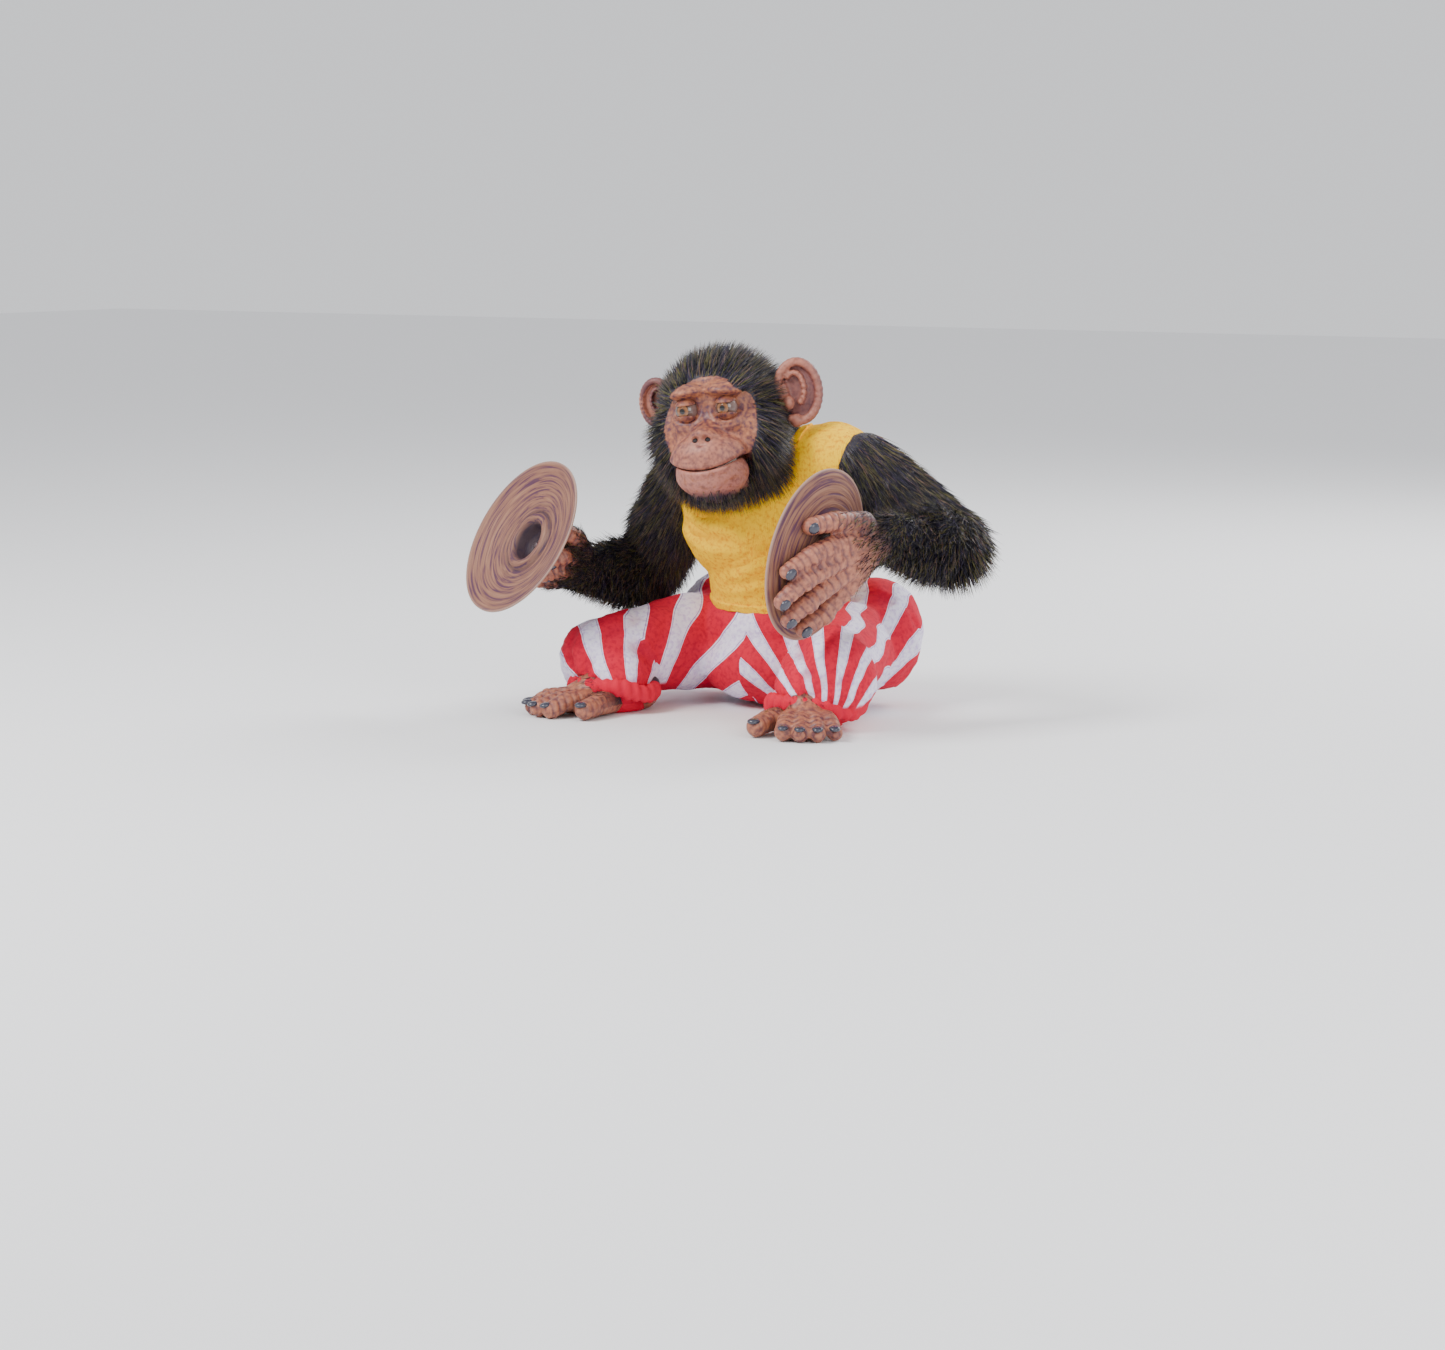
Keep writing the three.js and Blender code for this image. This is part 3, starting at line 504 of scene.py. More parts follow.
vestCuts = {"neck": neckOpening, "leftArm": armOpenings["left"], "rightArm": armOpenings["right"],
            "hem": ((0, -4, 20), (95, 95, 59))}
vest = mould("knittedVest", torsoLumps(3.2), 1.7, 14)
hems = mould("vestHems", torsoLumps(4.6), 1.5, 14)
innerBody = mould("vestInner", torsoLumps(1.2), 2.2, 14)
cutters = [eggCutter(k, c, r) for k, (c, r) in vestCuts.items()]
widerCutters = [eggCutter(k + "Wide", c, Vector(r) + Vector((5.5,) * 3)) for k, (c, r) in vestCuts.items()]
carve(vest, [innerBody, *cutters])
bands = []
for wide in widerCutters:
    band = hems.copy()
    band.data = hems.data.copy()
    bpy.context.scene.collection.objects.link(band)
    carve(band, [wide], "INTERSECT")
    carve(band, [innerBody, *cutters])
    bands.append(band)
slouch(vest, 1.0)
finishPiece(vest, yellowKnit, "base", "vest", "torso_front_casing", "torso_rear_casing")
for i, band in enumerate(bands):
    band.name = f"vestHem{i + 1}"
    slouch(band, 1.0)
    finishPiece(band, yellowKnit, "base")
discard(hems, innerBody, *cutters, *widerCutters)
finishPiece(chest, barkSkin, "base")
growFur("chestPile", chest, "base", 9000, 0.35, 3)
studs("vestStud", [(57, -40, 84)], 2.2, nostrilShadeAndStud, "base")
print("torso and vest done")

# --- trousers ---

trouserShape = {"hip": (44, -4, 42), "knee": (82, -99, 37), "cuff": (76, -108, 22), "stripes": (17, 24),
                "haunch": (58, 4, 48), "fanAcross": (-109, 15), "fanUp": -29}


def trouserLumps(bm):
    t = trouserShape
    addEgg(bm, (0, -2, 44), (57, 50, 42), detail=36)
    addEgg(bm, (0, -14, 54), (60, 54, 34), detail=36)
    addEgg(bm, (0, -4, 25), (54, 48, 25), detail=36)
    addEgg(bm, (0, -38, 30), (48, 38, 27), detail=36)
    for side in (-1, 1):
        flip = lambda p: (p[0] * side, p[1], p[2])
        addEgg(bm, flip(t["haunch"]), (35, 34, 38), detail=30)
        addLimb(bm, flip(t["hip"]), flip(t["knee"]), 36, 28)
        addEgg(bm, flip((88, -104, 33)), (31, 31, 30), detail=30)
        addLimb(bm, flip(t["knee"]), flip(t["cuff"]), 29, 25)
        addLimb(bm, flip(t["cuff"]), flip((76, -110, 19)), 26, 25)


trousers = mould("stripedTrousers", trouserLumps, 1.9, 10)
co, no = points(trousers), normals(trousers)
sides = np.where(co[:, 0] < 0, -1.0, 1.0)
flat = co * np.stack([sides, np.ones(len(co)), np.ones(len(co))], 1)
hip, knee, cuff = (np.array(trouserShape[k], float) for k in ("hip", "knee", "cuff"))
waistStart = hip + np.array((-10, 36, 30))


def alongPath(p, stops):
    best, where, out = np.full(len(p), 1e9), np.zeros(len(p)), np.zeros_like(p)
    run = 0.0
    for a, b in zip(stops[:-1], stops[1:]):
        d = b - a
        t = np.clip(((p - a) @ d) / (d @ d), 0, 1)
        gapTo = p - (a + t[:, None] * d)
        far = np.linalg.norm(gapTo, axis=1)
        nearer = far < best
        best = np.where(nearer, far, best)
        where = np.where(nearer, run + t * np.linalg.norm(d), where)
        out[nearer] = gapTo[nearer]
        run += np.linalg.norm(d)
    return where, out


where, out = alongPath(flat, [waistStart, hip, knee, cuff])
axis = knee - hip
axis /= np.linalg.norm(axis)
up = np.array((0.0, 0.0, 1.0))
sideways = np.cross(axis, up)
sideways /= np.linalg.norm(sideways)
lift = np.cross(sideways, axis)
angle = np.arctan2(out @ lift, out @ sideways + 1e-6)
across, upward = co @ np.array((0.848, 0.53, 0)), co @ np.array((-0.074, 0.118, 0.99))
fanFrom = np.where(sides < 0, *trouserShape["fanAcross"])
bearing = np.arctan2(across - fanFrom, upward - trouserShape["fanUp"])  # the stripes fan out from each cuff
count = np.where(sides < 0, *trouserShape["stripes"])
wobble = 0.07 * np.array([noise.noise(Vector((w / 26, s * 3, 1.5))) for w, s in zip(where, sides)])
stripes = 0.5 + 0.5 * np.cos(count * (bearing + wobble) + 0.6)
gather = np.exp(-((where - 60) / 24) ** 2) + 1.2 * np.exp(-((where - 168) / 26) ** 2) + 0.35
wave = np.array([noise.fractal(Vector((w / 17, 2.2 * math.cos(a) + s * 5, 2.2 * math.sin(a))), 1.0, 2.0, 3)
                 for w, a, s in zip(where, angle, sides)])
pleat = np.sin(where / 5.2 + 2.4 * np.sin(angle * 2 + sides))
folded = gather * (1.7 * wave + 0.9 * pleat * (np.abs(angle) < 2.4))
soft = 1.8 * roughness(co, 0.03)
moved = co + no * (folded + soft)[:, None]
moved[:, 2] = np.maximum(moved[:, 2], 0.6)
place(trousers, moved)
keep(trousers, "stripeWave", stripes)
# painted shade: the troughs of the folds are darkened in colour
keep(trousers, "paintedShadeAndMottle", np.clip(-0.22 * folded - 0.1, 0, 0.55))
ankle = np.hypot(flat[:, 0] - 78, flat[:, 1] + 110)
keep(trousers, "cuff", np.clip((18 - co[:, 2]) / 2, 0, 1) * (ankle < 42))
waistCutter = eggCutter("waistCutter", (0, -14, 116), (80, 72, 34))
carve(trousers, [waistCutter])
discard(waistCutter)
finishPiece(trousers, stripedCotton, "base", "trousers", "right_leg", "left_leg")


def cuffLumps(side):
    def build(bm):
        for k in range(40):
            a = math.tau * k / 40
            height = 13 + 6 * max(math.sin(-a), 0) + 0.8 * math.sin(5 * a)
            p = (side * (78 + 28.5 * math.cos(a)), -110 + 26 * math.sin(a), height)
            addEgg(bm, p, (4.2, 4.2, 6.5 + 0.6 * math.sin(7 * a)), detail=12)
        addEgg(bm, (side * 78, -110, 15), (27, 25, 7), detail=30)
    return build


for side, name in ((-1, "right"), (1, "left")):
    band = mould(name + "Cuff", cuffLumps(side), 1.3, 5)
    co = points(band)
    around = np.arctan2(co[:, 1] + 109, (co[:, 0] - side * 77) * side)
    ruffle = 0.6 * np.cos(around * 26) + 0.5 * roughness(co, 0.1)
    co += normals(band) * ruffle[:, None]
    co[:, 2] = np.maximum(co[:, 2], 0.6)
    place(band, co)
    keep(band, "cuff", np.ones(len(co)))
    keep(band, "stripeWave", np.zeros(len(co)))
    # painted shade: the ruffle troughs are darkened in colour
    keep(band, "paintedShadeAndMottle", np.clip(-0.35 * ruffle, 0, 0.4))
    finishPiece(band, stripedCotton, "base")
print("trousers done")

# --- feet ---

footShape = {"heel": (66, -98, 0), "toes": (108, -172, 0), "floor": 0.0}


def footPoint(side, forward, sideways, height):
    heel, toes = Vector(footShape["heel"]), Vector(footShape["toes"])
    ahead = (toes - heel).normalized()
    across = Vector((ahead.y, -ahead.x, 0)) * -1
    p = heel + ahead * forward + across * sideways + Vector((0, 0, height))
    return Vector((p.x * side, p.y, p.z))


toeRows = [(17, 74, 5.4), (7.5, 80, 5.8), (-2.5, 81, 6.0), (-12, 77, 6.2)]  # sideways, reach, radius


def footLumps(side):
    def build(bm):
        at = lambda f, s, h: footPoint(side, f, s, h)
        addLimb(bm, at(0, 0, 14), at(34, 0, 14), 15, 14)
        addLimb(bm, at(34, 2, 13), at(50, 2, 9.5), 14, 9.5)
        addLimb(bm, at(6, 0, 24), at(26, 0, 18), 14, 12)
        for sideways, reach, radius in toeRows:
            joint, tip = at(60, sideways * 0.95, 10.5), at(reach - 5, sideways * 1.12, radius)
            addLimb(bm, at(40, sideways * 0.7, 10), joint, 7.5, radius + 0.5, 14)
            addLimb(bm, joint, tip, radius + 0.5, radius, 14)
        addLimb(bm, at(26, -10, 9), at(42, -24, 9), 9, 7.5, 14)
        addLimb(bm, at(42, -24, 9), at(56, -31, 7), 7.5, 6.8, 14)
    return build


def skinCreases(obj, paths):  # rings across a finger or a toe
    co, no = points(obj), normals(obj)
    shift = np.zeros(len(co))
    for a, b, spacing in paths:
        a, b = np.array(a, float), np.array(b, float)
        d = b - a
        t = ((co - a) @ d) / (d @ d)
        far = np.linalg.norm(co - (a + np.clip(t, 0, 1)[:, None] * d), axis=1)
        run = t * np.linalg.norm(d)
        shift += (t > -0.1) * (t < 1.05) * (far < 11) * (0.5 + 0.5 * np.cos(run * 2 * np.pi / spacing)) ** 5
    shift += 0.5 * roughness(co, 0.16)
    place(obj, co - no * 0.55 * shift[:, None])
    # painted shade: the crease rings darken as deep as they sink, with random mottling from the bumps
    keep(obj, "paintedShadeAndMottle", np.clip(0.55 * shift, 0, 0.75))


nailShape = {"size": (4.0, 2.0, 4.6)}


def addNail(bm, point, outward, along, size=1.0):
    z = Vector(along).normalized()
    y = (Vector(outward) - z * Vector(outward).dot(z)).normalized()
    x = y.cross(z)
    turn = Matrix((x, y, z)).transposed().to_4x4()
    addEgg(bm, point, Vector(nailShape["size"]) * size, turn, 12)


for side, name in ((-1, "right"), (1, "left")):
    foot = mould(name + "FootSkin", footLumps(side), 1.0, 5)
    paths = []
    bm = bmesh.new()
    for sideways, reach, radius in toeRows:
        start = footPoint(side, 52, sideways * 0.9, 9)
        end = footPoint(side, reach, sideways * 1.14, radius)
        paths.append((start, end, 5.5))
        addNail(bm, footPoint(side, reach - 1, sideways * 1.13, radius + 3.4), (0, 0, 1), end - start, 0.95)
    start, end = footPoint(side, 40, -23, 8), footPoint(side, 60, -33, 7)
    paths.append((start, end, 5.5))
    addNail(bm, footPoint(side, 59, -32.5, 11), (0, 0, 1), end - start, 1.1)
    finishPiece(newPiece(name + "ToeNails", bm), darkNail, "base")
    skinCreases(foot, paths)
    co = points(foot)
    co[:, 2] = np.maximum(co[:, 2], footShape["floor"])
    place(foot, co)
    heelAt = np.array(footPoint(side, 0, 0, 0))
    forward = (co - heelAt) @ (np.array(footPoint(side, 1, 0, 0)) - heelAt)
    topSide = normals(foot)[:, 2]
    keep(foot, "furMask", np.clip((46 - forward) / 22, 0, 1) * (topSide > -0.2))
    keep(foot, "furLength", np.full(len(co), 8 * mm))
    ahead = np.array(footPoint(side, 1, 0, -0.35)) - heelAt
    keep(foot, "comb", np.tile(ahead, (len(co), 1)))
    keep(foot, "flush", np.full(len(co), 0.35))
    finishPiece(foot, barkSkin, "base", name + "_foot")
    growFur(name + "FootPile", foot, "base", 4500, 0.25, 20 + side, lift=0.3)
print("feet done")

# --- arms, hands, cymbals ---

arms = {
    "right": {"shoulder": (-58, -46, 150), "elbow": (-104, -28, 86), "wrist": (-113, -94, 92),
              "radii": (25, 21, 14)},
    "left": {"shoulder": (78, -46, 166), "elbow": (143, -44, 119), "wrist": (134, -110, 129),
             "radii": (23, 23, 15)},
}


def armLumps(arm):
    def build(bm):
        s, e, w = (Vector(arm[k]) for k in ("shoulder", "elbow", "wrist"))
        a, b, c = arm["radii"]
        addLimb(bm, s, e, a, b)
        addEgg(bm, s.lerp(e, 0.4), (a * 1.02,) * 3)
        addLimb(bm, e, w, b, c)
        addEgg(bm, e.lerp(w, 0.35), (b * 0.98,) * 3)
    return build


for side, arm in arms.items():
    skin = mould(side + "ArmSkin", armLumps(arm), 1.8, 10)
    co = points(skin)
    s, e, w = (np.array(arm[k], float) for k in ("shoulder", "elbow", "wrist"))
    upper, fore = (e - s) / np.linalg.norm(e - s), (w - e) / np.linalg.norm(w - e)
    where, out = alongPath(co, [s, e, w])
    share = np.clip((where - np.linalg.norm(e - s) + 12) / 24, 0, 1)[:, None]
    down = np.array((0, 0, -0.35))
    keep(skin, "comb", (1 - share) * upper + share * fore * 0.75 + down)
    keep(skin, "furMask", np.ones(len(co)))
    atWrist = np.clip((where - np.linalg.norm(e - s) - 30) / 40, 0, 1)
    keep(skin, "furLength", (14 - 6 * atWrist) * mm)
    keep(skin, "flush", np.zeros(len(co)))
    keep(skin, "paintedShadeAndMottle", np.zeros(len(co)))
    place(skin, co + normals(skin) * (1.2 * roughness(co, 0.05))[:, None])
    finishPiece(skin, barkSkin, side + "_arm_body", side + "_arm", side + "_wrist_pin")
    growFur(side + "ArmPile", skin, side + "_arm_body", 14000, 0.34, 40 + len(side), lift=0.42)
print("arms done")

# finger: knuckle, middle joint, tip, radii
hands = {
    "left": {
        "wrist": (134, -113, 129), "palm": (119, -146, 113), "outward": (0.98, -0.02, -0.18),
        "fingers": [
            [(122, -150, 127), (115, -176, 121), (107.5, -192, 112)],
            [(121, -152, 117), (113, -181, 106), (103.8, -193, 93)],
            [(118, -146, 106), (110, -173, 91), (101.5, -181, 80)],
            [(115, -137, 96), (107, -148, 81), (100.6, -161, 72)],
        ],
        "thumb": [(127, -132, 138), (120, -156, 141), (113, -173, 139)], "thick": 6.6,
    },
    "right": {
        "wrist": (-114, -97, 93), "palm": (-119, -112, 98), "outward": (0.35, 0.80, -0.48),
        "fingers": [
            [(-109, -109, 100), (-108, -128, 104), (-112, -136, 100)],
            [(-112, -106, 92), (-112, -126, 94), (-117, -134, 91)],
            [(-118, -105, 88), (-122, -122, 87), (-126, -128, 86)],
            [(-124, -107, 90), (-131, -117, 89), (-134, -122, 90)],
        ],
        "thumb": [(-108, -104, 105), (-103, -117, 115), (-106, -128, 121)], "thick": 6.0,
    },
}


def handLumps(hand):
    def build(bm):
        w, p = Vector(hand["wrist"]), Vector(hand["palm"])
        addLimb(bm, w, w.lerp(p, 0.5), 13.5, 12.5)
        lean = Vector(hand["outward"])
        for finger in hand["fingers"]:
            k, m, t = (Vector(q) for q in finger)
            addLimb(bm, w.lerp(p, 0.4), k, 12, 8.2, 16)
            addLimb(bm, k, m, 7.8, hand["thick"], 16)
            addLimb(bm, m, t, hand["thick"], hand["thick"] * 0.8, 16)
            addEgg(bm, m + lean * 1.2, (hand["thick"] + 0.7,) * 3, detail=14)
        k, m, t = (Vector(q) for q in hand["thumb"])
        addLimb(bm, w.lerp(p, 0.3), k, 11, 8.5, 16)
        addLimb(bm, k, m, 8, 6.6, 16)
        addLimb(bm, m, t, 6.6, 5.8, 16)
    return build


for side, hand in hands.items():
    skin = mould(side + "HandSkin", handLumps(hand), 0.95, 4)
    bm = bmesh.new()
    paths = []
    lean = Vector(hand["outward"])
    for finger in [*hand["fingers"], hand["thumb"]]:
        k, m, t = (Vector(q) for q in finger)
        paths += [(k, m, 6.5), (m, t, 5.0)]
        tip = t + (t - m).normalized() * 1.5 + lean * hand["thick"] * 0.66
        addNail(bm, tip, lean, t - m)
    finishPiece(newPiece(side + "Nails", bm), darkNail, side + "_hand_body")
    skinCreases(skin, paths)
    co = points(skin)
    w, p = np.array(hand["wrist"], float), np.array(hand["palm"], float)
    run = (co - w) @ (p - w) / ((p - w) @ (p - w))
    keep(skin, "furMask", np.clip(((1.0 if side == "left" else 1.7) - run) / 0.9, 0, 1) ** 1.5)
    keep(skin, "furLength", np.full(len(co), 8 * mm))
    keep(skin, "comb", np.tile((p - w) / np.linalg.norm(p - w), (len(co), 1)))
    keep(skin, "flush", np.full(len(co), 0.45))
    finishPiece(skin, barkSkin, side + "_hand_body", side + "_hand")
    growFur(side + "HandPile", skin, side + "_hand_body", 9000, 0.26, 60 + len(side), lift=0.3, wild=0.35)
print("hands done")

cymbals = {"right": {"centre": (-132, -140, 117), "faces": (-0.348, -0.804, 0.484)},
           "left": {"centre": (100, -145, 118), "faces": (-0.982, 0.023, 0.183)},
           "radius": 56, "dish": 8, "bell": 11, "gauge": 1.2}
for side in ("right", "left"):
    c = cymbals
    bm = bmesh.new()
    low, top = -c["dish"], -c["bell"] - c["dish"]
    profile = [(3.0, top), (6.5, top + 0.4), (9.5, top + 1.9), (12.5, low - 5.0), (13.6, low - 0.8),
               (15.2, low + 2.2), (17.5, low + 2.9), (19.6, low + 1.9), (21.2, low - 0.5), (22.5, low + 0.3)]
    profile += [(r, low + 0.3 + (c["dish"] - 0.3) * ((r - 22.5) / 33.5) ** 1.5)
                for r in np.linspace(24, c["radius"], 34)]
    groove = [0.22 * math.sin(r * 2.1) * math.sin(r * 0.7 + 1) if r > 23 else 0 for r, h in profile]
    verts = [bm.verts.new((r * mm, 0, (h + g) * mm)) for (r, h), g in zip(profile, groove)]
    for a, b in zip(verts[:-1], verts[1:]):
        bm.edges.new((a, b))
    bmesh.ops.spin(bm, geom=bm.verts[:] + bm.edges[:], axis=(0, 0, 1), cent=(0, 0, 0), steps=144,
                   angle=math.tau, use_merge=True)
    bmesh.ops.remove_doubles(bm, verts=bm.verts, dist=1e-6)
    bmesh.ops.recalc_face_normals(bm, faces=bm.faces)
    cymbal = newPiece(side + "Cymbal", bm)
    wallMod = cymbal.modifiers.new("gauge", "SOLIDIFY")
    wallMod.thickness = c["gauge"] * mm
    wallMod.offset = 0
    settle(cymbal)
    co = points(cymbal)
    radius, around = np.hypot(co[:, 0], co[:, 1]), np.arctan2(co[:, 1], co[:, 0])
    keep(cymbal, "ringPlace", np.stack([radius * 0.075, 0.16 * np.cos(around), 0.16 * np.sin(around)], 1))
    # painted shade: dark in the bell's hollow, in the groove ring at 21.6 mm and in a faint ring at 27 mm
    moat = 0.6 * np.exp(-((radius - 21.6) / 1.6) ** 2)
    faint = 0.25 * np.exp(-((radius - 27) / 1.2) ** 2)
    keep(cymbal, "bellShade", np.clip((15.5 - radius) / 2.2, 0, 0.93) + moat + faint)
    # painted highlight: the outermost 1.4 mm of the cymbal turns to the lighter rim colour
    keep(cymbal, "rimPaintedHighlight", np.clip((radius - c["radius"] + 1.4) / 1.2, 0, 1))
    turn = Vector((0, 0, 1)).rotation_difference(Vector(c[side]["faces"])).to_matrix()
    tilt = np.array(turn)
    place(cymbal, (co + [0, 0, 0.6]) @ tilt.T + np.array(c[side]["centre"]))
    finishPiece(cymbal, spunCopper, side + "_hand_body", side + "_cymbal")
    bm = bmesh.new()
    stem = Vector(c[side]["centre"]) - Vector(c[side]["faces"]) * 15.5
    place4 = Matrix.Translation(stem * mm) @ turn.to_4x4()
    bmesh.ops.create_cone(bm, cap_ends=True, segments=6, radius1=4.4 * mm, radius2=4.4 * mm,
                          depth=2.6 * mm, matrix=place4)
    bmesh.ops.create_cone(bm, cap_ends=True, segments=24, radius1=2.2 * mm, radius2=2.0 * mm,
                          depth=7 * mm, matrix=place4)
    nut = newPiece(side + "CymbalNut", bm)
    edgeCut = nut.modifiers.new("edge", "BEVEL")
    edgeCut.width = 0.3 * mm
    edgeCut.segments = 2
    settle(nut)
    finishPiece(nut, nutSteel, side + "_hand_body", side + "_cymbal_bolt")
print("cymbals done")

# --- head ---

headPlace = {"centre": (-6, -87, 198), "yaw": 16, "roll": 6}
headTurn = (Matrix.Rotation(math.radians(headPlace["yaw"]), 3, "Z")
            @ Matrix.Rotation(math.radians(-headPlace["roll"]), 3, "Y"))
headCentre = np.array(headPlace["centre"], float)
headAxes = np.array(headTurn)  # columns are the head's own directions
toHead = (headCentre, headAxes)


def inHead(p):
    return Vector(headTurn @ Vector(p)) + Vector(headPlace["centre"])


def headEgg(bm, p, r, detail=30, tilt=0):
    turn = headTurn.to_4x4() @ Matrix.Rotation(math.radians(tilt), 4, "X")
    addEgg(bm, inHead(p), r, turn, detail)


def headLumps(bm):
    headEgg(bm, (0, 2, 5), (40, 40, 38))
    headEgg(bm, (0, -14, -4), (34, 27, 38))
    for s in (-1, 1):
        headEgg(bm, (s * 22, -17, -12), (19, 19, 26))
        headEgg(bm, (s * 13.5, -33.5, 20), (14, 7, 5.5))
        headEgg(bm, (s * 15, -30, -1), (11, 10, 10))
        headEgg(bm, (s * 18, 4, -26), (24, 28, 26))
    headEgg(bm, (0, -36, -12), (13, 13, 14))
    headEgg(bm, (0, -45.5, -8), (7, 9, 6))
    for s in (-1, 1):
        headEgg(bm, (s * 6.3, -45.5, -10.5), (4.8, 7, 4.3))
    headEgg(bm, (0, -39, -22), (26, 20, 15))
    headEgg(bm, (0, 0, -34), (30, 28, 20))


head = mould("headSkin", headLumps, 1.25, 12)
eyeHole = [((s * 13.6, -39, 8), (8.2, 9, 6.2), (0, 8.0, 0)) for s in (-1, 1)]
bridge = [((0, -38, 8), (4.5, 8, 9), (0, 3, 0)), ((0, -41, -2), (7, 8, 6), (0, 1.0, 0)),
          ((0, -50, -8), (4.2, 8, 4.5), (0, -3.6, 1)), ((0, -54, -14), (3, 6, 1.6), (0, 1.6, 0))]
nose = [((s * 6.2, -50, -8.5), (3.4, 6, 3.4), (0, -3.4, 0)) for s in (-1, 1)]
nose += [((s * 4.0, -54, -10.5), (2.2, 7, 1.8), (0, 3.4, 0)) for s in (-1, 1)]
nose += [((s * 11, -50, -8), (1.6, 8, 4.5), (0, 1.6, 0)) for s in (-1, 1)]
brow = [((s * x, -42, 21 - abs(x) * 0.12), (7, 8, 3.2), (0, -2.3, 0)) for s in (-1, 1) for x in (5, 12, 19)]
press(head, eyeHole + bridge + nose + brow, toHead)
detail = []
for s in (-1, 1):
    for ring, depth in ((8.6, -0.7), (10.4, 0.55), (12.2, -0.6)):
        for k in range(16):
            a = -math.pi * (0.02 + 0.96 * k / 15)
            spot = (s * 13.6 + ring * 1.05 * math.cos(a), -39, 7.5 + ring * 0.82 * math.sin(a))
            detail.append((spot, (1.3, 9, 1.0), (0, -depth, 0)))
    for k in range(18):  # fold from the nose round the mouth's corner
        t = k / 17
        detail.append(((s * (8 + 15 * t ** 0.8), -50 + 14 * t, -5 - 22 * t ** 1.5), (1.3, 9, 1.4), (0, 1.1, 0)))
for k in range(22):  # upper lip's fine upright lines
    x = -19 + 38 * k / 21
    detail.append(((x, -52, -22 + abs(x) * 0.08), (0.5, 12, 6.5), (0, 0.55, 0)))
for k in range(9):  # forehead and bridge lines
    x = -16 + 4 * k
    detail.append(((x, -40, 27 + 0.5 * math.cos(x)), (3, 8, 0.7), (0, 0.6, 0)))
    detail.append(((x * 0.4, -42, 12 + k % 3 * 2), (3, 6, 0.6), (0, 0.6, 0)))
press(head, detail, toHead)
mouthGap = {"z": -31.5, "smile": 0.011}
co = points(head)
local = (co - headCentre) @ headAxes
lipLine = mouthGap["z"] + mouthGap["smile"] * local[:, 0] ** 2 + 0.05 * local[:, 0]
frontal = (local[:, 1] < -30) & (np.abs(local[:, 0]) < 25)
seam = np.exp(-((local[:, 2] - lipLine) / 1.1) ** 2) * frontal
upperLip = np.exp(-((local[:, 2] - lipLine - 3) / 2.2) ** 2) * frontal
no = normals(head)
under = np.clip((lipLine - local[:, 2]) / 3, 0, 1) * (local[:, 1] < -20) * (np.abs(local[:, 0]) < 27)
tucked = np.stack([-0.28 * local[:, 0] * under, 9.5 * under, 3.0 * under], 1) @ headAxes.T
place(head, co + no * (-1.2 * seam + 0.8 * upperLip)[:, None] + tucked)
co = points(head)
local = (co - headCentre) @ headAxes
faceEdge = (((local[:, 0] - 1) / 31.5) ** 2 + ((local[:, 2] + 3) / 32) ** 2)
muzzleEdge = ((local[:, 0] / 27) ** 2 + ((local[:, 2] + 22) / 20) ** 2)
bare = ((faceEdge < 1) | (muzzleEdge < 1)) & (local[:, 1] < -14)
nearEdge = np.clip(np.minimum(faceEdge, muzzleEdge) - 0.8, 0, 0.5)
keep(head, "furMask", np.where(bare, 0.0, 1.0))
keep(head, "furLength", np.where(local[:, 1] < -20, 5 + 8 * nearEdge * 2, 12) * mm)
away = local - np.array((0, -46, 4))
away[:, 1] = np.maximum(away[:, 1], 4)
away /= np.linalg.norm(away, axis=1)[:, None] + 1e-6
away[:, 2] -= 0.55 * (local[:, 2] < 10)
away[:, 1] += 0.5 * (local[:, 2] >= 10)
keep(head, "comb", away @ headAxes.T)
keep(head, "flush", np.clip(1.3 - muzzleEdge, 0, 1) * (local[:, 1] < -30) * np.where(local[:, 2] < lipLine, 1.0, 0.6))
# painted shade: a dark patch round each eye socket
socket = sum(np.exp(-(((local[:, 0] - s * 13.6) / 9.5) ** 2 + ((local[:, 2] - 8) / 6.5) ** 2)) for s in (-1, 1))
wrinkle = np.clip(0.9 * np.abs(roughness(local, 0.33)) - 0.12, 0, 0.5)
rings = sum(np.exp(-((np.hypot((local[:, 0] - s * 13.6) / 1.15, (local[:, 2] - 6.5) / 0.85) - r) / 0.55) ** 2)
            for s in (-1, 1) for r in (8.8, 11.4, 13.8)) * (local[:, 2] < 9)
cheekFold = sum(np.exp(-((local[:, 0] * s - 8 - 17 * np.clip((-5 - local[:, 2]) / 22, 0, 1) ** 0.6) / 0.8) ** 2)
                for s in (-1, 1)) * (local[:, 2] < -4) * (local[:, 2] > -27)
lipLines = np.clip(np.cos(local[:, 0] * 2.3 + 0.5 * np.sin(local[:, 2])), 0, 1) ** 3
lipLines *= np.exp(-((local[:, 2] + 23) / 5.5) ** 2)
foreheadLines = np.clip(np.sin(local[:, 2] * 1.9 + 0.6 * np.cos(local[:, 0] / 4)), 0, 1) ** 3
foreheadLines *= np.exp(-((local[:, 2] - 26) / 6) ** 2)
wrinkle += 0.5 * rings + 0.5 * cheekFold + 0.32 * lipLines + 0.3 * foreheadLines
# painted shade: the mouth seam, the eye sockets and the wrinkle lines darken, on top of random mottling on the bare
# face
keep(head, "paintedShadeAndMottle", np.clip(0.85 * seam + 0.5 * socket * (local[:, 1] < -20) + wrinkle * bare, 0, 0.9))
finishPiece(head, barkSkin, "head", "skull_shell", "face_mask")
growFur("headPile", head, "head", 17500, 0.30, 80, lift=0.4, wild=0.22)


def jawLumps(bm):
    headEgg(bm, (0, -35.5, -34), (24.5, 21.5, 16.5))
    headEgg(bm, (0, -32, -40), (20, 20, 14))
    headEgg(bm, (0, -22, -42), (20, 20, 10))


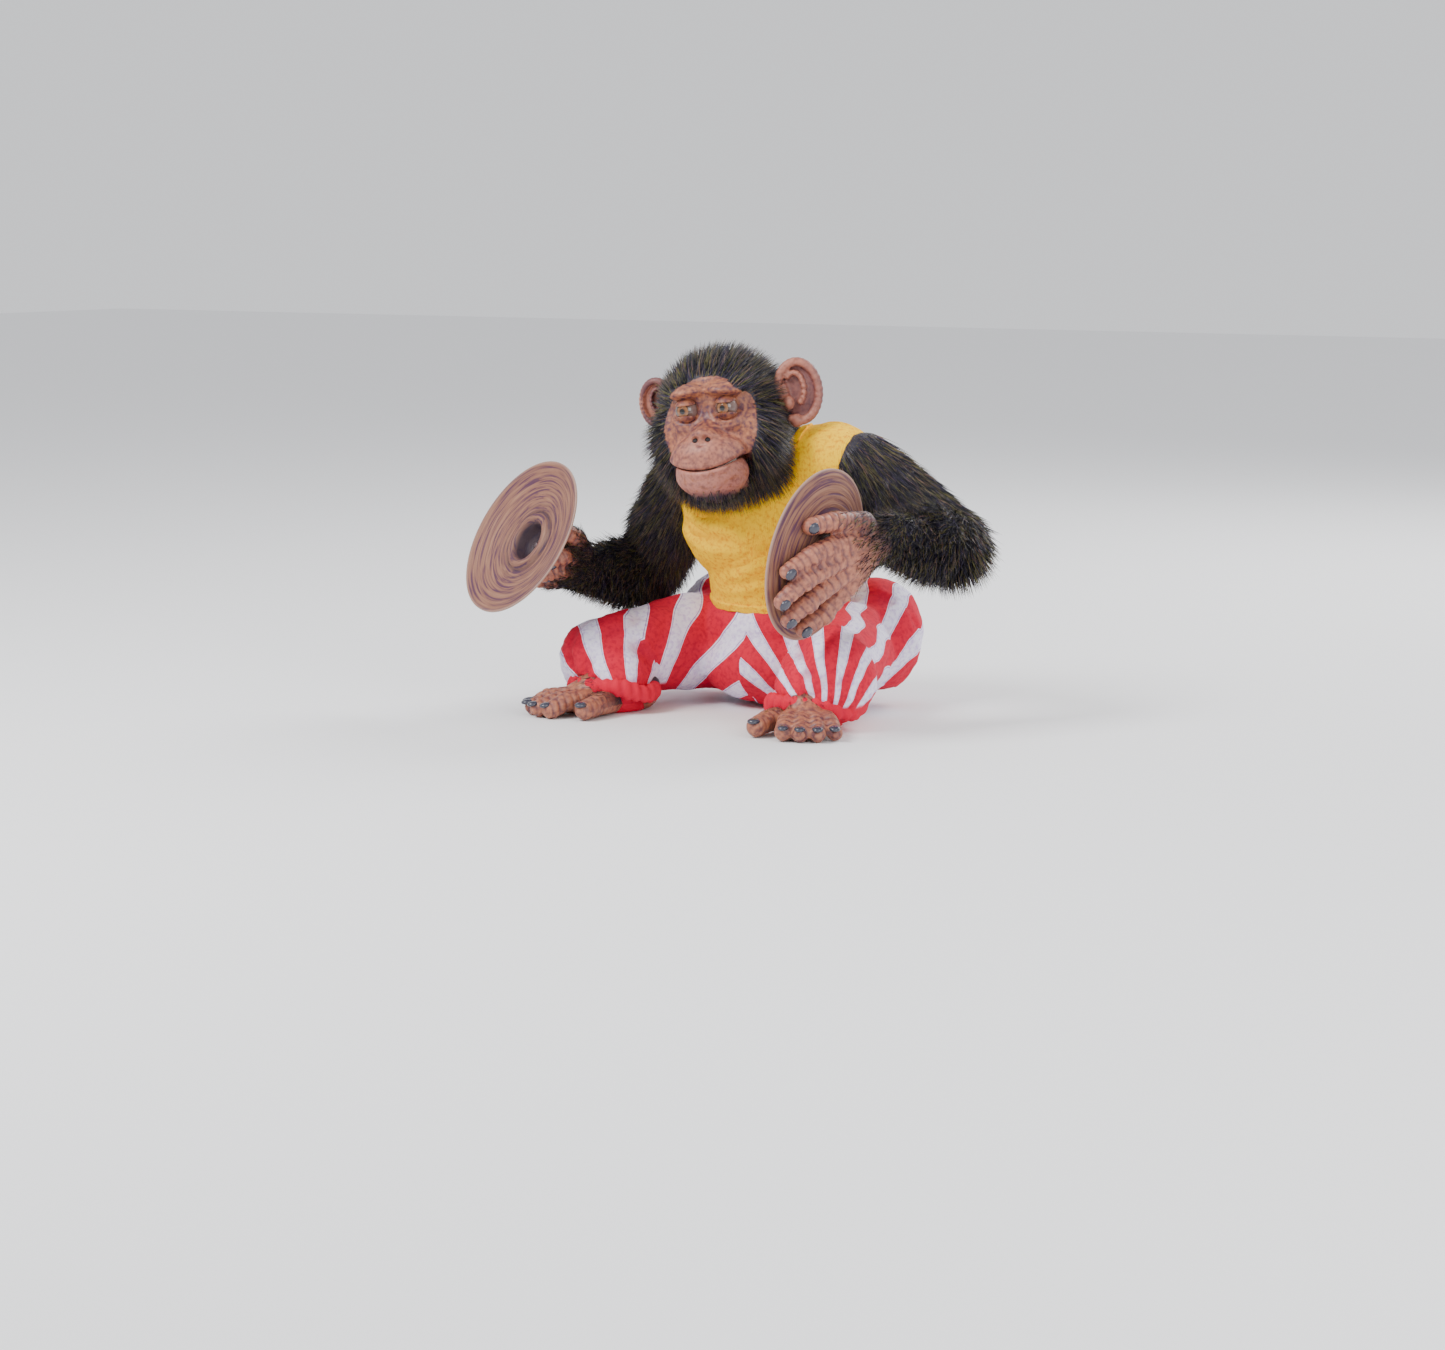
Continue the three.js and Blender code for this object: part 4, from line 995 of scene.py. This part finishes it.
jaw = mould("jawSkin", jawLumps, 1.0, 6)
co = points(jaw)
local = (co - headCentre) @ headAxes
lowerLine = mouthGap["z"] + mouthGap["smile"] * local[:, 0] ** 2 + 0.05 * local[:, 0] + 0.3
over = np.maximum(local[:, 2] - lowerLine, 0)
local[:, 2] -= over
lowerLip = np.exp(-((local[:, 2] - lowerLine + 1.6) / 2.2) ** 2) * (local[:, 1] < -30)
local[:, 1] -= 2.0 * lowerLip
place(jaw, local @ headAxes.T + headCentre)
keep(jaw, "furMask", np.clip((-44 - local[:, 2]) / 5, 0, 1) + 0.35 * (local[:, 1] > -34))
keep(jaw, "furLength", np.full(len(co), 7 * mm))
keep(jaw, "comb", np.tile(headAxes @ np.array((0, 0.5, -1)), (len(co), 1)))
keep(jaw, "flush", np.ones(len(co)))
keep(jaw, "paintedShadeAndMottle", np.clip(0.9 * np.abs(roughness(local, 0.4)) - 0.12, 0, 0.5))
finishPiece(jaw, barkSkin, "jaw", "lower_jaw")
growFur("jawPile", jaw, "jaw", 2500, 0.22, 81, lift=0.3)

eyeShape = {"radius": 7.4, "lidOver": 0.9, "upper": (4.6, 0.18), "lower": (-4.0, 0.12),
            "look": (-0.12, -1, 0.0)}


def eyeFinish():
    material, nodes, links, shader = startMaterial("glassEye", 0.06)
    ring = attribute(nodes, "irisReach")
    stops = [(0.0, (0.004, 0.003, 0.003)), (0.19, (0.004, 0.003, 0.003)), (0.22, (0.13, 0.045, 0.014)),
             (0.40, (0.25, 0.10, 0.03)), (0.50, (0.02, 0.01, 0.008)), (0.55, (0.10, 0.055, 0.045)), (1.0, (0.18, 0.11, 0.095))]
    color = ramp(nodes, links, ring.outputs["Fac"], stops)
    links.new(color.outputs["Color"], shader.inputs["Base Color"])
    shader.inputs["Coat Weight"].default_value = 0.35
    shader.inputs["Coat Roughness"].default_value = 0.03
    return material


glassEye = eyeFinish()
for s, name in ((-1, "right"), (1, "left")):
    bm = bmesh.new()
    at = (s * 13.6, -34.6, 8)
    headEgg(bm, at, (eyeShape["radius"],) * 3, 48)
    eye = newPiece(name + "Eyeball", bm)
    co = (points(eye) - headCentre) @ headAxes - np.array(at)
    look = np.array(eyeShape["look"])
    look /= np.linalg.norm(look)
    off = np.degrees(np.arccos(np.clip(co @ look / np.linalg.norm(co, axis=1), -1, 1)))
    keep(eye, "irisReach", off / 70)
    finishPiece(eye, glassEye, "head", name + "_eye")
    for lid, toward in (("Upper", -1), ("Lower", 1)):  # lids wrap the ball
        height, lean = eyeShape[lid.lower()]
        bm = bmesh.new()
        headEgg(bm, at, (eyeShape["radius"] + eyeShape["lidOver"],) * 3, 32)
        plane = inHead((at[0], at[1], at[2] + height))
        away = headTurn @ Vector((0, lean, toward))
        geometry = bm.verts[:] + bm.edges[:] + bm.faces[:]
        bmesh.ops.bisect_plane(bm, geom=geometry, plane_co=plane * mm, plane_no=away, clear_outer=True)
        bmesh.ops.holes_fill(bm, edges=[e for e in bm.edges if e.is_boundary])
        lidSkin = newPiece(name + lid + "Lid", bm)
        keep(lidSkin, "paintedShadeAndMottle", np.full(len(lidSkin.data.vertices), 0.25))
        finishPiece(lidSkin, barkSkin, "head")
# painted shadow: near-black eggs set in the nostril openings
for s in (-1, 1):
    bm = bmesh.new()
    headEgg(bm, (s * 4.3, -51.4, -11.0), (2.7, 3.0, 1.9), 16, 20)
    finishPiece(newPiece("nostril" + ("Right" if s < 0 else "Left"), bm), nostrilShadeAndStud, "head")


def earLumps(side):
    def build(bm):
        for k in range(26):  # the rolled rim
            a = math.radians(-115 + 290 * k / 25)
            p = (side * (49.5 + 13.5 * math.cos(a)), 3 + 3 * math.cos(a), 7 + 19.5 * math.sin(a))
            headEgg(bm, p, (3.2, 3.4, 3.2), 12)
        headEgg(bm, (side * 48, 7, 7), (13, 2.6, 19), 24)
        for k in range(10):  # inner fold
            a = math.radians(-60 + 190 * k / 9)
            headEgg(bm, (side * (47.5 + 6.5 * math.cos(a)), 2.5, 9 + 10.5 * math.sin(a)), (2.1, 2.8, 2.1), 10)
        headEgg(bm, (side * 43, 1, 0), (4, 4, 5), 14)
        headEgg(bm, (side * 47, 2, -12), (5, 3.6, 4.6), 14)
        headEgg(bm, (side * 39, 5, 4), (5, 5, 12), 14)
    return build


for s, name in ((-1, "right"), (1, "left")):
    ear = mould(name + "EarSkin", earLumps(s), 0.8, 4)
    co = points(ear)
    local = (co - headCentre) @ headAxes
    if s > 0:
        local += (3.0, 0, 6.0)
    else:
        local = (local - (-38, 5, 6)) * (0.82, 1, 0.76) + (-37, 10, 13)
    place(ear, local @ headAxes.T + headCentre)
    co = points(ear)
    local = (co - headCentre) @ headAxes
    # painted shade: the ear's cup darkens, on top of random mottling
    hollowShade = np.clip((local[:, 1] - 1) / 6, 0, 1) * (local[:, 1] < 8)
    keep(ear, "paintedShadeAndMottle", np.clip(0.8 * hollowShade + 0.3 * np.abs(roughness(local, 0.3)), 0, 0.8))
    keep(ear, "flush", np.full(len(co), 0.75))
    keep(ear, "furMask", np.zeros(len(co)))
    finishPiece(ear, barkSkin, "head", name + "_ear")
print("head done")
discard(strand)

# --- floor, light, camera ---

bm = bmesh.new()
bmesh.ops.create_grid(bm, x_segments=1, y_segments=1, size=6)
floor = newPiece("floor", bm)
floor.data.materials.append(plainFinish("paleFloor", (0.86, 0.86, 0.87), 0.9))
world = bpy.data.worlds.new("studio")
bpy.context.scene.world = world
world.use_nodes = True
world.node_tree.nodes["Background"].inputs["Color"].default_value = (0.93, 0.94, 0.97, 1)
world.node_tree.nodes["Background"].inputs["Strength"].default_value = 1.0
lamps = {"key": ((-0.6, -1.3, 1.4), 34, 0.7), "fill": ((1.6, -0.9, 0.8), 16, 1.0), "back": ((0.4, 1.3, 1.2), 24, 0.8)}
for name, (spot, power, wide) in lamps.items():
    light = bpy.data.lights.new(name, "AREA")
    light.energy = power
    light.size = wide
    lamp = bpy.data.objects.new(name, light)
    lamp.location = spot
    lamp.rotation_euler = (Vector((0, -0.08, 0.12)) - Vector(spot)).to_track_quat("-Z", "Y").to_euler()
    bpy.context.scene.collection.objects.link(lamp)
cameraPlace = {"aim": (0.001, -0.098, 0.028), "toward": (0.525, -0.840, 0.139), "away": 2.27, "lens": 85}
view = bpy.data.cameras.new("view")
view.lens = cameraPlace["lens"]
camera = bpy.data.objects.new("view", view)
toward = Vector(cameraPlace["toward"]).normalized()
camera.location = Vector(cameraPlace["aim"]) + toward * cameraPlace["away"]
camera.rotation_euler = (-toward).to_track_quat("-Z", "Y").to_euler()
bpy.context.scene.collection.objects.link(camera)
bpy.context.scene.camera = camera
print("studio done")
